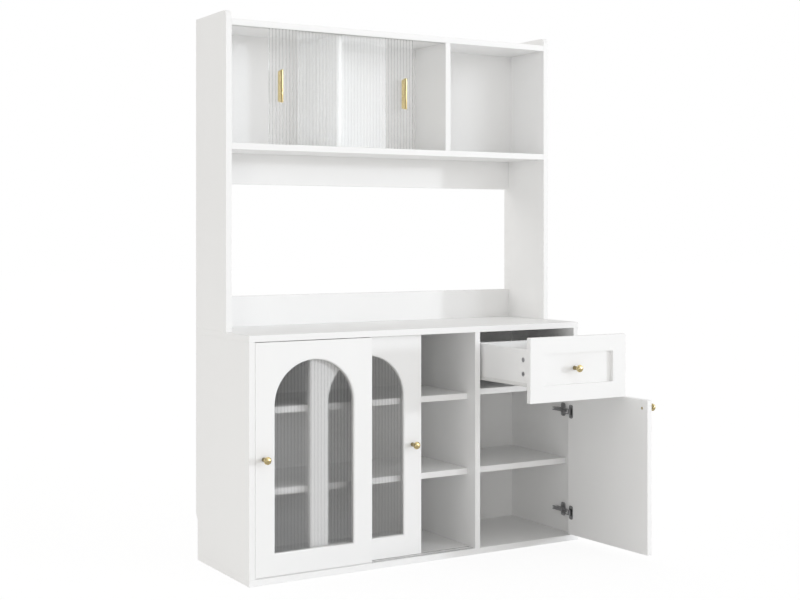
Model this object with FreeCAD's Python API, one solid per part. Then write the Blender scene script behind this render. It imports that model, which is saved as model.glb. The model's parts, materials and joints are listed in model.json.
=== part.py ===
import FreeCAD, Part
import math
import os

# Buffet cabinet with a glazed hutch, in millimetres.
# +Z is up, the fronts face -Y, and the origin is on the floor at the centre of the footprint.
# Everything is drawn as it stands: front sliding door shut, rear sliding door and hutch panes
# part of the way along, drawer pulled out and hinged door swung open.

Vector = FreeCAD.Vector
os.makedirs("parts", exist_ok=True)

# Carcass
WIDTH = 1200.0
DEPTH = 400.0
BASE_HEIGHT = 726.0
OVERALL_HEIGHT = 1692.0
HUTCH_DEPTH = 234.0
BOARD = 19.0
EDGE_RADIUS = 0.8
OVERRUN = 5.0
FIT = 0.05
BOARD_FIT = 0.3

# Base divisions
SLIDING_BAY_SHARE = 0.67104
UPPER_SHELF_DROP = 217.0
LOWER_SHELF_UNDERSIDE = 249.0
SLIDING_SHELF_SETBACK = 45.0
RIGHT_SHELF_UNDERSIDE = 250.0
RIGHT_SHELF_SETBACK = 42.0
DRAWER_BAY_HEIGHT = 183.0
DRAWER_BOARD_SETBACK = 20.0
BASE_BACK_THICKNESS = 4.0
BASE_BACK_INSET = 43.0
BACK_GROOVE_DEPTH = 6.0
SKIRTING_DEPTH = 14.0
SKIRTING_HEIGHT = 125.0
SKIRTING_SLOPE = 20.0

# Hutch divisions
PANE_BAY_HEIGHT = 354.0
TOP_BOARD_DROP = 25.0
HUTCH_CORNER_RADIUS = 18.0
HUTCH_DIVIDER_OFFSET = 5.0
MIDDLE_DIVIDER_SETBACK = 24.0
MIDDLE_DIVIDER_WIDTH_SHARE = 0.5
HUTCH_BACK_THICKNESS = 5.0
HUTCH_BACK_INSET = 38.0
RAIL_HEIGHT = 97.0
RAIL_INSET = 9.0

# Shelf pins, screws and dowels
PIN_RADIUS = 2.5
PIN_LENGTH = 16.0
PIN_EMBEDDED = 9.0
PIN_INSET = 40.0
SCREW_RADIUS = 2.5
SCREW_LENGTH = 50.0
SCREW_HEAD_RADIUS = 5.0
SCREW_HEAD_HEIGHT = 3.0
SCREW_HEAD_RECESS = 1.0
DOWEL_RADIUS = 4.0
DOWEL_LENGTH = 30.0
FASTENER_INSET = 50.0

# Sliding doors
DOOR_OVERLAP = 11.0
DOOR_THICKNESS = 18.0
DOOR_BOTTOM_GAP = 3.0
DOOR_TOP_GAP = 2.0
DOOR_SETBACK = 0.5
DOOR_SPACING = 3.0
FRONT_DOOR_SIDE_GAP = 1.0
REAR_DOOR_REST_OFFSET = 189.5
WINDOW_STILE = 63.5
WINDOW_SILL = 66.0
WINDOW_TOP_RAIL = 57.0
WINDOW_ROUNDING = 5.5
REBATE_WIDTH = 8.0
REBATE_DEPTH = 6.0
DOOR_GLASS_THICKNESS = 4.0
BEAD_THICKNESS = 1.9
FLUTE_PITCH = 11.3
FLUTE_DEPTH = 1.8

# Tracks and glides of the sliding doors
TRACK_MARGIN = 2.5
TRACK_GROOVE_WIDTH = 6.0
LOWER_TRACK_PROUD = 1.5
LOWER_TRACK_GROOVE = 6.0
UPPER_TRACK_GROOVE = 7.0
TRACK_FLOOR = 2.5
GLIDE_THICKNESS = 5.0
GLIDE_LENGTH = 40.0
GLIDE_EMBEDDED = 10.0
GLIDE_INSET = 45.0
GLIDE_PLAY = 0.3
GUIDE_REACH = 7.0

# Knobs
KNOB_COLLAR_RADIUS = 6.6
KNOB_COLLAR_THICKNESS = 3.0
KNOB_NECK_RADIUS = 6.0
KNOB_HEAD_RADIUS = 11.8
KNOB_HEAD_HALF_LENGTH = 7.5
KNOB_PROJECTION = 34.0
KNOB_SCREW_RADIUS = 2.0
KNOB_SCREW_BITE = 12.0
KNOB_SCREW_HEAD_RADIUS = 4.2
KNOB_SCREW_HEAD_HEIGHT = 2.0
FRONT_KNOB_INSET = 27.0
REAR_KNOB_INSET = 32.5
DOOR_KNOB_HEIGHT = 365.0

# Hutch panes and pulls
PANE_OVERLAP = 62.0
PANE_THICKNESS = 5.0
PANE_SETBACK = 5.5
PANE_SPACING = 4.0
PANE_LOWER_GROOVE = 5.0
PANE_UPPER_GROOVE = 10.0
PANE_TOP_ENTRY = 7.0
PANE_PLAY = 0.3
LINER_MARGIN = 1.7
LINER_FLOOR = 1.5
FRONT_PANE_TRAVEL_SHARE = 0.363
REAR_PANE_TRAVEL_SHARE = 0.334
PULL_LENGTH = 102.0
PULL_WIDTH = 8.0
PULL_DEPTH = 25.0
PULL_END_SLANT = 5.0
PULL_CHAMFER = 2.6
PULL_CENTRE_RISE = 177.0
FRONT_PULL_INSET = 28.0
REAR_PULL_INSET = 35.5

# Drawer
INSET_DOOR_GAP = 2.0
DRAWER_FRONT_LAP = 1.0
DRAWER_FRONT_THICKNESS = 18.0
DRAWER_REST_TRAVEL = 266.8
DRAWER_STILE = 51.0
DRAWER_RECESS_DEPTH = 12.0
DRAWER_KNOB_OFFSET = 9.0
RUNNER_SPACE = 12.5
DRAWER_BOX_LENGTH = 325.0
DRAWER_BOX_LIFT = 50.0
DRAWER_BOX_HEIGHT = 111.0
DRAWER_SIDE_THICKNESS = 12.0
DRAWER_BOTTOM_THICKNESS = 4.0
DRAWER_BOTTOM_LIFT = 10.0
DRAWER_GROOVE_DEPTH = 4.0
CAM_RADIUS = 7.5
CAM_DEPTH = 10.0
CAM_SLOT_WIDTH = 1.8
CAM_SLOT_DEPTH = 2.0
CAM_SETBACK = 34.0
CAM_EDGE_INSETS = (32.0, 75.5)

# Drawer runners
RUNNER_SHEET = 1.2
RUNNER_BAND_HEIGHT = 10.0
RUNNER_FLANGE_WIDTH = 8.3
RUNNER_CHANNEL_INSIDE = 20.0
RUNNER_CHANNEL_DROP = 16.0
RUNNER_FRONT_SETBACK = 20.0
RUNNER_REAR_GAP = 8.0
RUNNER_LIP_WIDTH = 10.0
ROLLER_RADIUS = 9.5
ROLLER_WIDTH = 7.6
ROLLER_PLAY = 0.3
ROLLER_AXLE_RADIUS = 3.0
ROLLER_END_MARGIN = 2.0

# Hinged door
HINGED_DOOR_THICKNESS = 18.0
HINGED_DOOR_TOP_GAP = 2.5
HINGED_DOOR_OPENING = 93.3
PIVOT_EDGE_OFFSET = 3.1
PIVOT_FACE_OFFSET = 3.25
HINGED_KNOB_INSET = 24.0
HINGED_KNOB_DROP = 26.5

# Concealed hinges
HINGE_TOP_INSET = 73.5
HINGE_BOTTOM_INSET = 73.0
HINGE_PIN_SETBACK = 30.0
HINGE_PIN_STANDOFF = 24.0
HINGE_PIN_RADIUS = 1.5
LINK_LENGTH = 40.0
LINK_WIDTH = 5.0
LINK_CHEEK = 2.0
LINK_CHEEK_SPACING = 13.0
LINK_EYE_RADIUS = 3.5
LINK_WEB = 1.5
LINK_WEB_LENGTH = 8.0
ARM_WIDTH = 11.0
ARM_THICKNESS = 7.0
ARM_REAR = 96.0
ARM_STANDOFF = 8.0
ARM_SLOT_WIDTH = 4.0
ARM_SLOT_LENGTH = 9.0
PLATE_FRONT = 43.7
PLATE_LENGTH = 21.3
PLATE_HEIGHT = 44.0
PLATE_THICKNESS = 3.0
PLATE_SCREW_INSET = 6.0
PLATE_SCREW_RADIUS = 2.0
CUP_FLANGE_EDGE = 6.5
CUP_FLANGE_WIDTH = 18.5
CUP_FLANGE_HEIGHT = 45.0
CUP_FLANGE_THICKNESS = 1.0
CUP_RADIUS = 8.7
CUP_WALL = 0.9
CUP_DEPTH = 11.5

# Places worked out from the sizes above
LEFT = -WIDTH / 2
RIGHT = WIDTH / 2
FRONT = -DEPTH / 2
REAR = DEPTH / 2
INNER_LEFT = LEFT + BOARD
INNER_RIGHT = RIGHT - BOARD
COUNTER_UNDERSIDE = BASE_HEIGHT - BOARD
SLIDING_BAY_WIDTH = (INNER_RIGHT - INNER_LEFT - BOARD) * SLIDING_BAY_SHARE
DIVIDER_LEFT = INNER_LEFT + SLIDING_BAY_WIDTH
DIVIDER_RIGHT = DIVIDER_LEFT + BOARD
UPPER_SHELF_UNDERSIDE = COUNTER_UNDERSIDE - UPPER_SHELF_DROP
DRAWER_BOARD_UNDERSIDE = COUNTER_UNDERSIDE - DRAWER_BAY_HEIGHT - BOARD
BASE_BACK_REAR = REAR - BASE_BACK_INSET
BASE_BACK_FRONT = BASE_BACK_REAR - BASE_BACK_THICKNESS
HUTCH_FRONT = REAR - HUTCH_DEPTH
TOP_BOARD_TOP = OVERALL_HEIGHT - TOP_BOARD_DROP
TOP_BOARD_UNDERSIDE = TOP_BOARD_TOP - BOARD
HUTCH_SHELF_TOP = TOP_BOARD_UNDERSIDE - PANE_BAY_HEIGHT
HUTCH_SHELF_UNDERSIDE = HUTCH_SHELF_TOP - BOARD
PANE_BAY_WIDTH = SLIDING_BAY_WIDTH - HUTCH_DIVIDER_OFFSET
PANE_BAY_RIGHT = INNER_LEFT + PANE_BAY_WIDTH
HUTCH_BACK_REAR = REAR - HUTCH_BACK_INSET
HUTCH_BACK_FRONT = HUTCH_BACK_REAR - HUTCH_BACK_THICKNESS
RAIL_REAR = REAR - RAIL_INSET
DOOR_BOTTOM = BOARD + DOOR_BOTTOM_GAP
DOOR_TOP = COUNTER_UNDERSIDE - DOOR_TOP_GAP
DOOR_WIDTH = (SLIDING_BAY_WIDTH + DOOR_OVERLAP) / 2
WINDOW_RADIUS = DOOR_WIDTH / 2 - WINDOW_STILE
WINDOW_SPRING = DOOR_TOP - WINDOW_TOP_RAIL - WINDOW_RADIUS
DOOR_FACES = (FRONT + DOOR_SETBACK, FRONT + DOOR_SETBACK + DOOR_THICKNESS + DOOR_SPACING)
DOOR_LEFTS = (INNER_LEFT + FRONT_DOOR_SIDE_GAP, INNER_LEFT + REAR_DOOR_REST_OFFSET)
GROOVE_CENTRES = (DOOR_FACES[0] + DOOR_THICKNESS / 2, DOOR_FACES[1] + DOOR_THICKNESS / 2)
PANE_FACES = (HUTCH_FRONT + PANE_SETBACK, HUTCH_FRONT + PANE_SETBACK + PANE_THICKNESS + PANE_SPACING)
PANE_WIDTH = (PANE_BAY_WIDTH + PANE_OVERLAP) / 2
PANE_TRAVEL = PANE_BAY_WIDTH - PANE_WIDTH
PANE_LEFTS = (
    INNER_LEFT + PANE_TRAVEL * FRONT_PANE_TRAVEL_SHARE,
    INNER_LEFT + PANE_TRAVEL * (1 - REAR_PANE_TRAVEL_SHARE),
)
PANE_BOTTOM = HUTCH_SHELF_TOP - PANE_LOWER_GROOVE + PANE_PLAY
PANE_TOP = TOP_BOARD_UNDERSIDE + PANE_TOP_ENTRY
PULL_CENTRE_HEIGHT = HUTCH_SHELF_TOP + PULL_CENTRE_RISE
FRONT_LEFT = DIVIDER_RIGHT + INSET_DOOR_GAP
FRONT_RIGHT = INNER_RIGHT - INSET_DOOR_GAP
DRAWER_CENTRE = (DIVIDER_RIGHT + INNER_RIGHT) / 2
DRAWER_KNOB_X = DRAWER_CENTRE - DRAWER_KNOB_OFFSET
DRAWER_FRONT_BOTTOM = DRAWER_BOARD_UNDERSIDE + DRAWER_FRONT_LAP
DRAWER_FACE = FRONT - DRAWER_REST_TRAVEL
DRAWER_FRONT_REAR = DRAWER_FACE + DRAWER_FRONT_THICKNESS
DRAWER_OUTER_RIGHT = INNER_RIGHT - RUNNER_SPACE
DRAWER_INNER_RIGHT = DRAWER_OUTER_RIGHT - DRAWER_SIDE_THICKNESS
DRAWER_END = DRAWER_FRONT_REAR + DRAWER_BOX_LENGTH
DRAWER_BOX_BOTTOM = DRAWER_FRONT_BOTTOM + DRAWER_BOX_LIFT
DRAWER_BOX_TOP = DRAWER_BOX_BOTTOM + DRAWER_BOX_HEIGHT
DRAWER_PANEL_BOTTOM = DRAWER_BOX_BOTTOM + DRAWER_BOTTOM_LIFT
DRAWER_PANEL_TOP = DRAWER_PANEL_BOTTOM + DRAWER_BOTTOM_THICKNESS
RUNNER_SOLE = DRAWER_BOX_BOTTOM - RUNNER_SHEET
CHANNEL_FLOOR = DRAWER_BOX_BOTTOM - RUNNER_CHANNEL_DROP
CABINET_ROLLER_Y = FRONT + RUNNER_FRONT_SETBACK + ROLLER_RADIUS + ROLLER_END_MARGIN
CABINET_ROLLER_Z = RUNNER_SOLE - ROLLER_PLAY - ROLLER_RADIUS
DRAWER_ROLLER_Y = DRAWER_END - ROLLER_RADIUS - ROLLER_END_MARGIN
DRAWER_ROLLER_Z = CHANNEL_FLOOR + ROLLER_PLAY + ROLLER_RADIUS
HINGED_DOOR_TOP = DRAWER_FRONT_BOTTOM - HINGED_DOOR_TOP_GAP
HINGED_KNOB_HEIGHT = HINGED_DOOR_TOP - HINGED_KNOB_DROP
HINGE_HEIGHTS = (HINGED_DOOR_TOP - HINGE_TOP_INSET, DOOR_BOTTOM + HINGE_BOTTOM_INSET)
PIVOT_X = FRONT_RIGHT - PIVOT_EDGE_OFFSET
PIVOT_Y = FRONT + PIVOT_FACE_OFFSET
HINGE_PIN_X = INNER_RIGHT - HINGE_PIN_STANDOFF
HINGE_PIN_Y = FRONT + HINGE_PIN_SETBACK


def block(x_low, x_high, y_low, y_high, z_low, z_high):
    """A rectangular solid between two corners."""
    return Part.makeBox(x_high - x_low, y_high - y_low, z_high - z_low, Vector(x_low, y_low, z_low))


def board(x_low, x_high, y_low, y_high, z_low, z_high, radius=EDGE_RADIUS):
    """A rectangular board with its edges eased."""
    solid = block(x_low, x_high, y_low, y_high, z_low, z_high)
    return solid.makeFillet(radius, solid.Edges)


def rod(radius, length, x, y, z, direction):
    """A round bar that starts at a point."""
    return Part.makeCylinder(radius, length, Vector(x, y, z), direction)


def mirrored(solid, x):
    """A solid's twin on the other side of an upright plane across the width."""
    return solid.mirror(Vector(x, 0, 0), Vector(1, 0, 0))


def save(node, shapes):
    """Write one sub-part, made of one solid or of a group of separate solids."""
    solids = shapes if isinstance(shapes, list) else [shapes]
    shape = solids[0] if len(solids) == 1 else Part.makeCompound(solids)
    shape.exportStep(f"parts/{node}.step")
    valid = all(solid.isValid() for solid in solids)
    print(f"{node}: {len(shape.Solids)} solids, {shape.Volume / 1000:.1f} cm3, valid {valid}")


X_AXIS = Vector(1, 0, 0)
Y_AXIS = Vector(0, 1, 0)
Z_AXIS = Vector(0, 0, 1)


# Fasteners: a list of places gives both the pieces and the holes that take them
def fastener_rows():
    """Places along the depth where the frame is screwed and dowelled."""
    return (FRONT + FASTENER_INSET + BOARD, BASE_BACK_FRONT - FASTENER_INSET)


def floor_screw_places():
    """Screws that rise through the bottom board into the uprights."""
    uprights = (LEFT + BOARD / 2, DIVIDER_LEFT + BOARD / 2, RIGHT - BOARD / 2)
    return [(x, y) for x in uprights for y in fastener_rows()]


def carcass_screws(gap=0):
    """Countersunk screws under the bottom board, or their holes when a gap is given."""
    solids = []
    for x, y in floor_screw_places():
        head = rod(SCREW_HEAD_RADIUS + gap, SCREW_HEAD_HEIGHT + gap, x, y, SCREW_HEAD_RECESS, Z_AXIS)
        shank = rod(SCREW_RADIUS + gap, SCREW_LENGTH + gap, x, y, SCREW_HEAD_RECESS, Z_AXIS)
        solids.append(head.fuse(shank))
    return solids


def dowel_places():
    """Centre of each dowel and the direction in which it lies."""
    places = []
    for x in (LEFT + BOARD / 2, DIVIDER_LEFT + BOARD / 2, RIGHT - BOARD / 2):
        places += [(x, y, COUNTER_UNDERSIDE, Z_AXIS) for y in fastener_rows()]
    hutch_rows = (HUTCH_FRONT + FASTENER_INSET, HUTCH_BACK_FRONT - FASTENER_INSET)
    for x in (LEFT + BOARD / 2, RIGHT - BOARD / 2):
        places += [(x, y, BASE_HEIGHT, Z_AXIS) for y in hutch_rows]
    for z in (HUTCH_SHELF_UNDERSIDE + BOARD / 2, TOP_BOARD_UNDERSIDE + BOARD / 2):
        for x in (INNER_LEFT, INNER_RIGHT):
            places += [(x, y, z, X_AXIS) for y in hutch_rows]
    return places


def carcass_dowels(gap=0):
    """Hardwood dowels centred on the joints of the frame, or their holes when a gap is given."""
    solids = []
    for x, y, z, direction in dowel_places():
        start = Vector(x, y, z) - direction * (DOWEL_LENGTH / 2 + gap)
        solids.append(Part.makeCylinder(DOWEL_RADIUS + gap, DOWEL_LENGTH + 2 * gap, start, direction))
    return solids


def pin_places():
    """Inner face, depth, underside and outward side of each shelf pin."""
    places = []
    bays = (
        (INNER_LEFT, DIVIDER_LEFT, SLIDING_SHELF_SETBACK, UPPER_SHELF_UNDERSIDE),
        (INNER_LEFT, DIVIDER_LEFT, SLIDING_SHELF_SETBACK, LOWER_SHELF_UNDERSIDE),
        (DIVIDER_RIGHT, INNER_RIGHT, RIGHT_SHELF_SETBACK, RIGHT_SHELF_UNDERSIDE),
    )
    for left, right, setback, underside in bays:
        for y in (FRONT + setback + PIN_INSET, BASE_BACK_FRONT - PIN_INSET):
            places.append((left, y, underside - PIN_RADIUS, -1))
            places.append((right, y, underside - PIN_RADIUS, 1))
    return places


def shelf_pins(gap=0):
    """Steel pins that carry the loose shelves, or their holes when a gap is given."""
    solids = []
    for x, y, z, side in pin_places():
        start = x + side * (PIN_EMBEDDED + gap)
        solids.append(rod(PIN_RADIUS + gap, PIN_LENGTH + gap, start, y, z, X_AXIS * -side))
    return solids


def cut_fasteners(solid):
    """Bore a board for the screws, dowels and pins that reach into it."""
    box = solid.BoundBox
    holes = carcass_screws(FIT) + carcass_dowels(FIT) + shelf_pins(FIT)
    near = [hole for hole in holes if hole.BoundBox.intersect(box)]
    return solid.cut(near) if near else solid


# Base
def base_bottom_board():
    """Floor of the base, short of the skirting at the back, with a pocket for the lower track."""
    solid = board(LEFT, RIGHT, FRONT, REAR - SKIRTING_DEPTH, 0, BOARD)
    head_gap = rod(SCREW_HEAD_RADIUS + FIT, SCREW_HEAD_RECESS + OVERRUN, 0, 0, -OVERRUN, Z_AXIS)
    mouths = [head_gap.translated(Vector(x, y, 0)) for x, y in floor_screw_places()]
    return cut_fasteners(solid).cut(mouths + [lower_track_body(OVERRUN)])


def base_side(x_low):
    """Upright side with its lower rear corner cut back to clear a skirting board."""
    solid = board(x_low, x_low + BOARD, FRONT, REAR, BOARD, COUNTER_UNDERSIDE)
    corner = Part.makePolygon([
        Vector(x_low - OVERRUN, REAR - SKIRTING_DEPTH, 0),
        Vector(x_low - OVERRUN, REAR - SKIRTING_DEPTH, SKIRTING_HEIGHT),
        Vector(x_low - OVERRUN, REAR, SKIRTING_HEIGHT + SKIRTING_SLOPE),
        Vector(x_low - OVERRUN, REAR + OVERRUN, SKIRTING_HEIGHT + SKIRTING_SLOPE),
        Vector(x_low - OVERRUN, REAR + OVERRUN, 0),
        Vector(x_low - OVERRUN, REAR - SKIRTING_DEPTH, 0),
    ])
    notch = Part.Face(corner).extrude(Vector(BOARD + 2 * OVERRUN, 0, 0))
    return cut_fasteners(solid.cut([notch, base_back_body(FIT)]))


def base_back_body(gap=0):
    """Outline of the thin back, which sits in grooves of the sides, floor and countertop."""
    return block(
        INNER_LEFT - BACK_GROOVE_DEPTH + BOARD_FIT - gap, INNER_RIGHT + BACK_GROOVE_DEPTH - BOARD_FIT + gap,
        BASE_BACK_FRONT - gap, BASE_BACK_REAR + gap,
        BOARD, COUNTER_UNDERSIDE,
    )


def base_divider():
    """Full-height upright between the sliding bay and the drawer bay."""
    solid = board(DIVIDER_LEFT, DIVIDER_RIGHT, FRONT, BASE_BACK_FRONT, BOARD, COUNTER_UNDERSIDE)
    return cut_fasteners(solid)


def base_countertop():
    """Top of the base, with a pocket underneath for the upper track."""
    solid = board(LEFT, RIGHT, FRONT, REAR, COUNTER_UNDERSIDE, BASE_HEIGHT)
    return cut_fasteners(solid).cut(upper_track_body(OVERRUN))


def loose_shelf(left, right, setback, underside):
    """Shelf that lies on four pins."""
    return board(
        left + BOARD_FIT, right - BOARD_FIT,
        FRONT + setback, BASE_BACK_FRONT - BOARD_FIT,
        underside, underside + BOARD,
    )


def drawer_support_board():
    """Fixed board between the drawer and the hinged door."""
    return board(
        DIVIDER_RIGHT, INNER_RIGHT,
        FRONT + DRAWER_BOARD_SETBACK, BASE_BACK_FRONT,
        DRAWER_BOARD_UNDERSIDE, DRAWER_BOARD_UNDERSIDE + BOARD,
    )


# Tracks of the sliding doors
def track_depths():
    """Front and rear faces of the twin-groove tracks."""
    reach = TRACK_GROOVE_WIDTH / 2 + TRACK_MARGIN
    return GROOVE_CENTRES[0] - reach, GROOVE_CENTRES[1] + reach


def lower_track_body(overrun=0):
    """Outline of the lower track, or its pocket when an overrun is given."""
    y_low, y_high = track_depths()
    top = BOARD + LOWER_TRACK_PROUD
    floor = top - LOWER_TRACK_GROOVE - TRACK_FLOOR
    return block(INNER_LEFT, DIVIDER_LEFT, y_low, y_high, floor, top + overrun)


def upper_track_body(overrun=0):
    """Outline of the upper track, or its pocket when an overrun is given."""
    y_low, y_high = track_depths()
    top = COUNTER_UNDERSIDE + UPPER_TRACK_GROOVE + TRACK_FLOOR
    return block(INNER_LEFT, DIVIDER_LEFT, y_low, y_high, COUNTER_UNDERSIDE - overrun, top)


def grooves(z_low, z_high):
    """The two running grooves of a track."""
    half = TRACK_GROOVE_WIDTH / 2
    return [
        block(INNER_LEFT - OVERRUN, DIVIDER_LEFT + OVERRUN, y - half, y + half, z_low, z_high)
        for y in GROOVE_CENTRES
    ]


def sliding_track_lower():
    """Lower track, let into the floor just behind its front lip."""
    top = BOARD + LOWER_TRACK_PROUD
    return lower_track_body().cut(grooves(top - LOWER_TRACK_GROOVE, top + OVERRUN))


def sliding_track_upper():
    """Upper track, flush with the underside of the countertop."""
    return upper_track_body().cut(
        grooves(COUNTER_UNDERSIDE - OVERRUN, COUNTER_UNDERSIDE + UPPER_TRACK_GROOVE))


# Hutch
def hutch_side(x_low):
    """Upright side of the hutch with a rounded top front corner."""
    solid = block(x_low, x_low + BOARD, HUTCH_FRONT, REAR, BASE_HEIGHT, OVERALL_HEIGHT)
    corner = [
        edge for edge in solid.Edges
        if edge.BoundBox.YMax < HUTCH_FRONT + BOARD_FIT and edge.BoundBox.ZMin > OVERALL_HEIGHT - BOARD_FIT
    ]
    solid = solid.makeFillet(HUTCH_CORNER_RADIUS, corner)
    solid = solid.makeFillet(EDGE_RADIUS, solid.Edges)
    return cut_fasteners(solid.cut(hutch_back_body(FIT)))


def hutch_back_body(gap=0):
    """Outline of the hutch back, which sits in grooves of the boards around it."""
    groove = BACK_GROOVE_DEPTH - BOARD_FIT + gap
    return block(
        INNER_LEFT - groove, INNER_RIGHT + groove,
        HUTCH_BACK_FRONT - gap, HUTCH_BACK_REAR + gap,
        HUTCH_SHELF_TOP - groove, TOP_BOARD_UNDERSIDE + groove,
    )


def hutch_board(z_low):
    """Board between the hutch sides: the shelf under the panes or the top."""
    solid = board(INNER_LEFT, INNER_RIGHT, HUTCH_FRONT, RAIL_REAR, z_low, z_low + BOARD)
    return cut_fasteners(solid.cut([hutch_back_body(FIT)] + pane_track_bodies(OVERRUN)))


def hutch_divider(x_low, setback):
    """Upright between the hutch shelf and the top board."""
    return board(
        x_low, x_low + BOARD,
        HUTCH_FRONT + setback, HUTCH_BACK_FRONT,
        HUTCH_SHELF_TOP, TOP_BOARD_UNDERSIDE,
    )


def hutch_rail(z_low):
    """Rear rail across the open space over the countertop."""
    return board(INNER_LEFT, INNER_RIGHT, RAIL_REAR - BOARD, RAIL_REAR, z_low, z_low + RAIL_HEIGHT)


# Grooved strips in which the hutch panes run
def pane_centres():
    """Middle of the thickness of each pane."""
    return [face + PANE_THICKNESS / 2 for face in PANE_FACES]


def pane_track_bodies(overrun=0):
    """Outlines of the lower and upper strips, or their pockets when an overrun is given."""
    centres = pane_centres()
    reach = PANE_THICKNESS / 2 + PANE_PLAY + LINER_MARGIN
    y_low, y_high = centres[0] - reach, centres[1] + reach
    lower_floor = HUTCH_SHELF_TOP - PANE_LOWER_GROOVE - LINER_FLOOR
    upper_floor = TOP_BOARD_UNDERSIDE + PANE_UPPER_GROOVE + LINER_FLOOR
    return [
        block(INNER_LEFT, PANE_BAY_RIGHT, y_low, y_high, lower_floor, HUTCH_SHELF_TOP + overrun),
        block(INNER_LEFT, PANE_BAY_RIGHT, y_low, y_high, TOP_BOARD_UNDERSIDE - overrun, upper_floor),
    ]


def pane_tracks():
    """Lower and upper strips, flush with the boards that hold them."""
    half = PANE_THICKNESS / 2 + PANE_PLAY
    lower, upper = pane_track_bodies()
    for y in pane_centres():
        span = (INNER_LEFT - OVERRUN, PANE_BAY_RIGHT + OVERRUN, y - half, y + half)
        lower = lower.cut(block(*span, HUTCH_SHELF_TOP - PANE_LOWER_GROOVE, HUTCH_SHELF_TOP + OVERRUN))
        upper = upper.cut(block(*span, TOP_BOARD_UNDERSIDE - OVERRUN, TOP_BOARD_UNDERSIDE + PANE_UPPER_GROOVE))
    return [lower, upper]


# Fluted glass
def fluted_sheet(x_low, width, face, thickness, z_low, z_high):
    """Upright sheet whose front carries rounded flutes side by side."""
    count = max(1, round(width / FLUTE_PITCH))
    pitch = width / count
    valley = face + FLUTE_DEPTH
    edges = []
    for index in range(count):
        start = x_low + index * pitch
        edges.append(Part.Arc(
            Vector(start, valley, z_low),
            Vector(start + pitch / 2, face, z_low),
            Vector(start + pitch, valley, z_low),
        ).toShape())
    rear = face + thickness
    corners = [
        Vector(x_low + width, valley, z_low), Vector(x_low + width, rear, z_low),
        Vector(x_low, rear, z_low), Vector(x_low, valley, z_low),
    ]
    edges += [Part.LineSegment(a, b).toShape() for a, b in zip(corners, corners[1:])]
    return Part.Face(Part.Wire(edges)).extrude(Vector(0, 0, z_high - z_low))


# Sliding doors with an arched window
def arch(centre, y_low, y_high, offset=0):
    """Prism with the outline of the arched window, grown by an offset."""
    radius = WINDOW_RADIUS + offset
    sill = DOOR_BOTTOM + WINDOW_SILL - offset
    left, right = centre - radius, centre + radius
    outline = [
        Part.LineSegment(Vector(left, y_low, WINDOW_SPRING), Vector(left, y_low, sill)).toShape(),
        Part.LineSegment(Vector(left, y_low, sill), Vector(right, y_low, sill)).toShape(),
        Part.LineSegment(Vector(right, y_low, sill), Vector(right, y_low, WINDOW_SPRING)).toShape(),
        Part.Arc(
            Vector(right, y_low, WINDOW_SPRING),
            Vector(centre, y_low, WINDOW_SPRING + radius),
            Vector(left, y_low, WINDOW_SPRING),
        ).toShape(),
    ]
    return Part.Face(Part.Wire(outline)).extrude(Vector(0, y_high - y_low, 0))


def rebate_floor(face):
    """Depth at which the glass of a door rests in its frame."""
    return face + DOOR_THICKNESS - REBATE_DEPTH


def door_frame(left, face, knob_x):
    """Door panel with an arched window, rounded in front and rebated behind for the glass."""
    centre = left + DOOR_WIDTH / 2
    rear = face + DOOR_THICKNESS
    solid = board(left, left + DOOR_WIDTH, face, rear, DOOR_BOTTOM, DOOR_TOP)
    solid = solid.cut(arch(centre, face - OVERRUN, rear + OVERRUN))
    lip = [
        edge for edge in solid.Edges
        if edge.BoundBox.YMax < face + BOARD_FIT
        and edge.BoundBox.XMin > left + EDGE_RADIUS * 2 and edge.BoundBox.XMax < left + DOOR_WIDTH - EDGE_RADIUS * 2
        and edge.BoundBox.ZMin > DOOR_BOTTOM + EDGE_RADIUS * 2
    ]
    solid = solid.makeFillet(WINDOW_ROUNDING, lip)
    solid = solid.cut(arch(centre, rebate_floor(face), rear + OVERRUN, REBATE_WIDTH))
    return solid.cut(door_glides(left, face, FIT) + [knob_bore(knob_x, face, rear, DOOR_KNOB_HEIGHT)])


def door_glass(left, face):
    """Fluted pane seated in the rebate of a door."""
    centre = left + DOOR_WIDTH / 2
    half = WINDOW_RADIUS + REBATE_WIDTH - BOARD_FIT
    front = rebate_floor(face)
    sheet = fluted_sheet(centre - half, 2 * half, front, DOOR_GLASS_THICKNESS, 0, DOOR_TOP)
    outline = arch(centre, front - OVERRUN, front + DOOR_GLASS_THICKNESS + OVERRUN, REBATE_WIDTH - BOARD_FIT)
    return sheet.common(outline)


def door_glass_bead(left, face):
    """Thin arched ring behind the glass that holds it in the rebate."""
    centre = left + DOOR_WIDTH / 2
    front = rebate_floor(face) + DOOR_GLASS_THICKNESS
    outer = arch(centre, front, front + BEAD_THICKNESS, REBATE_WIDTH - BOARD_FIT)
    return outer.cut(arch(centre, front - OVERRUN, front + BEAD_THICKNESS + OVERRUN))


def door_glides(left, face, gap=0):
    """Two glides under a door and two guides over it, or their slots when a gap is given."""
    middle = face + DOOR_THICKNESS / 2
    half = GLIDE_THICKNESS / 2 + gap
    groove_floor = BOARD + LOWER_TRACK_PROUD - LOWER_TRACK_GROOVE
    lower = (groove_floor + GLIDE_PLAY - gap, DOOR_BOTTOM + GLIDE_EMBEDDED + gap)
    upper = (DOOR_TOP - GLIDE_EMBEDDED - gap, DOOR_TOP + GUIDE_REACH + gap)
    solids = []
    for start in (left + GLIDE_INSET, left + DOOR_WIDTH - GLIDE_INSET - GLIDE_LENGTH):
        for z_low, z_high in (lower, upper):
            solids.append(block(start - gap, start + GLIDE_LENGTH + gap, middle - half, middle + half, z_low, z_high))
    return solids


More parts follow.
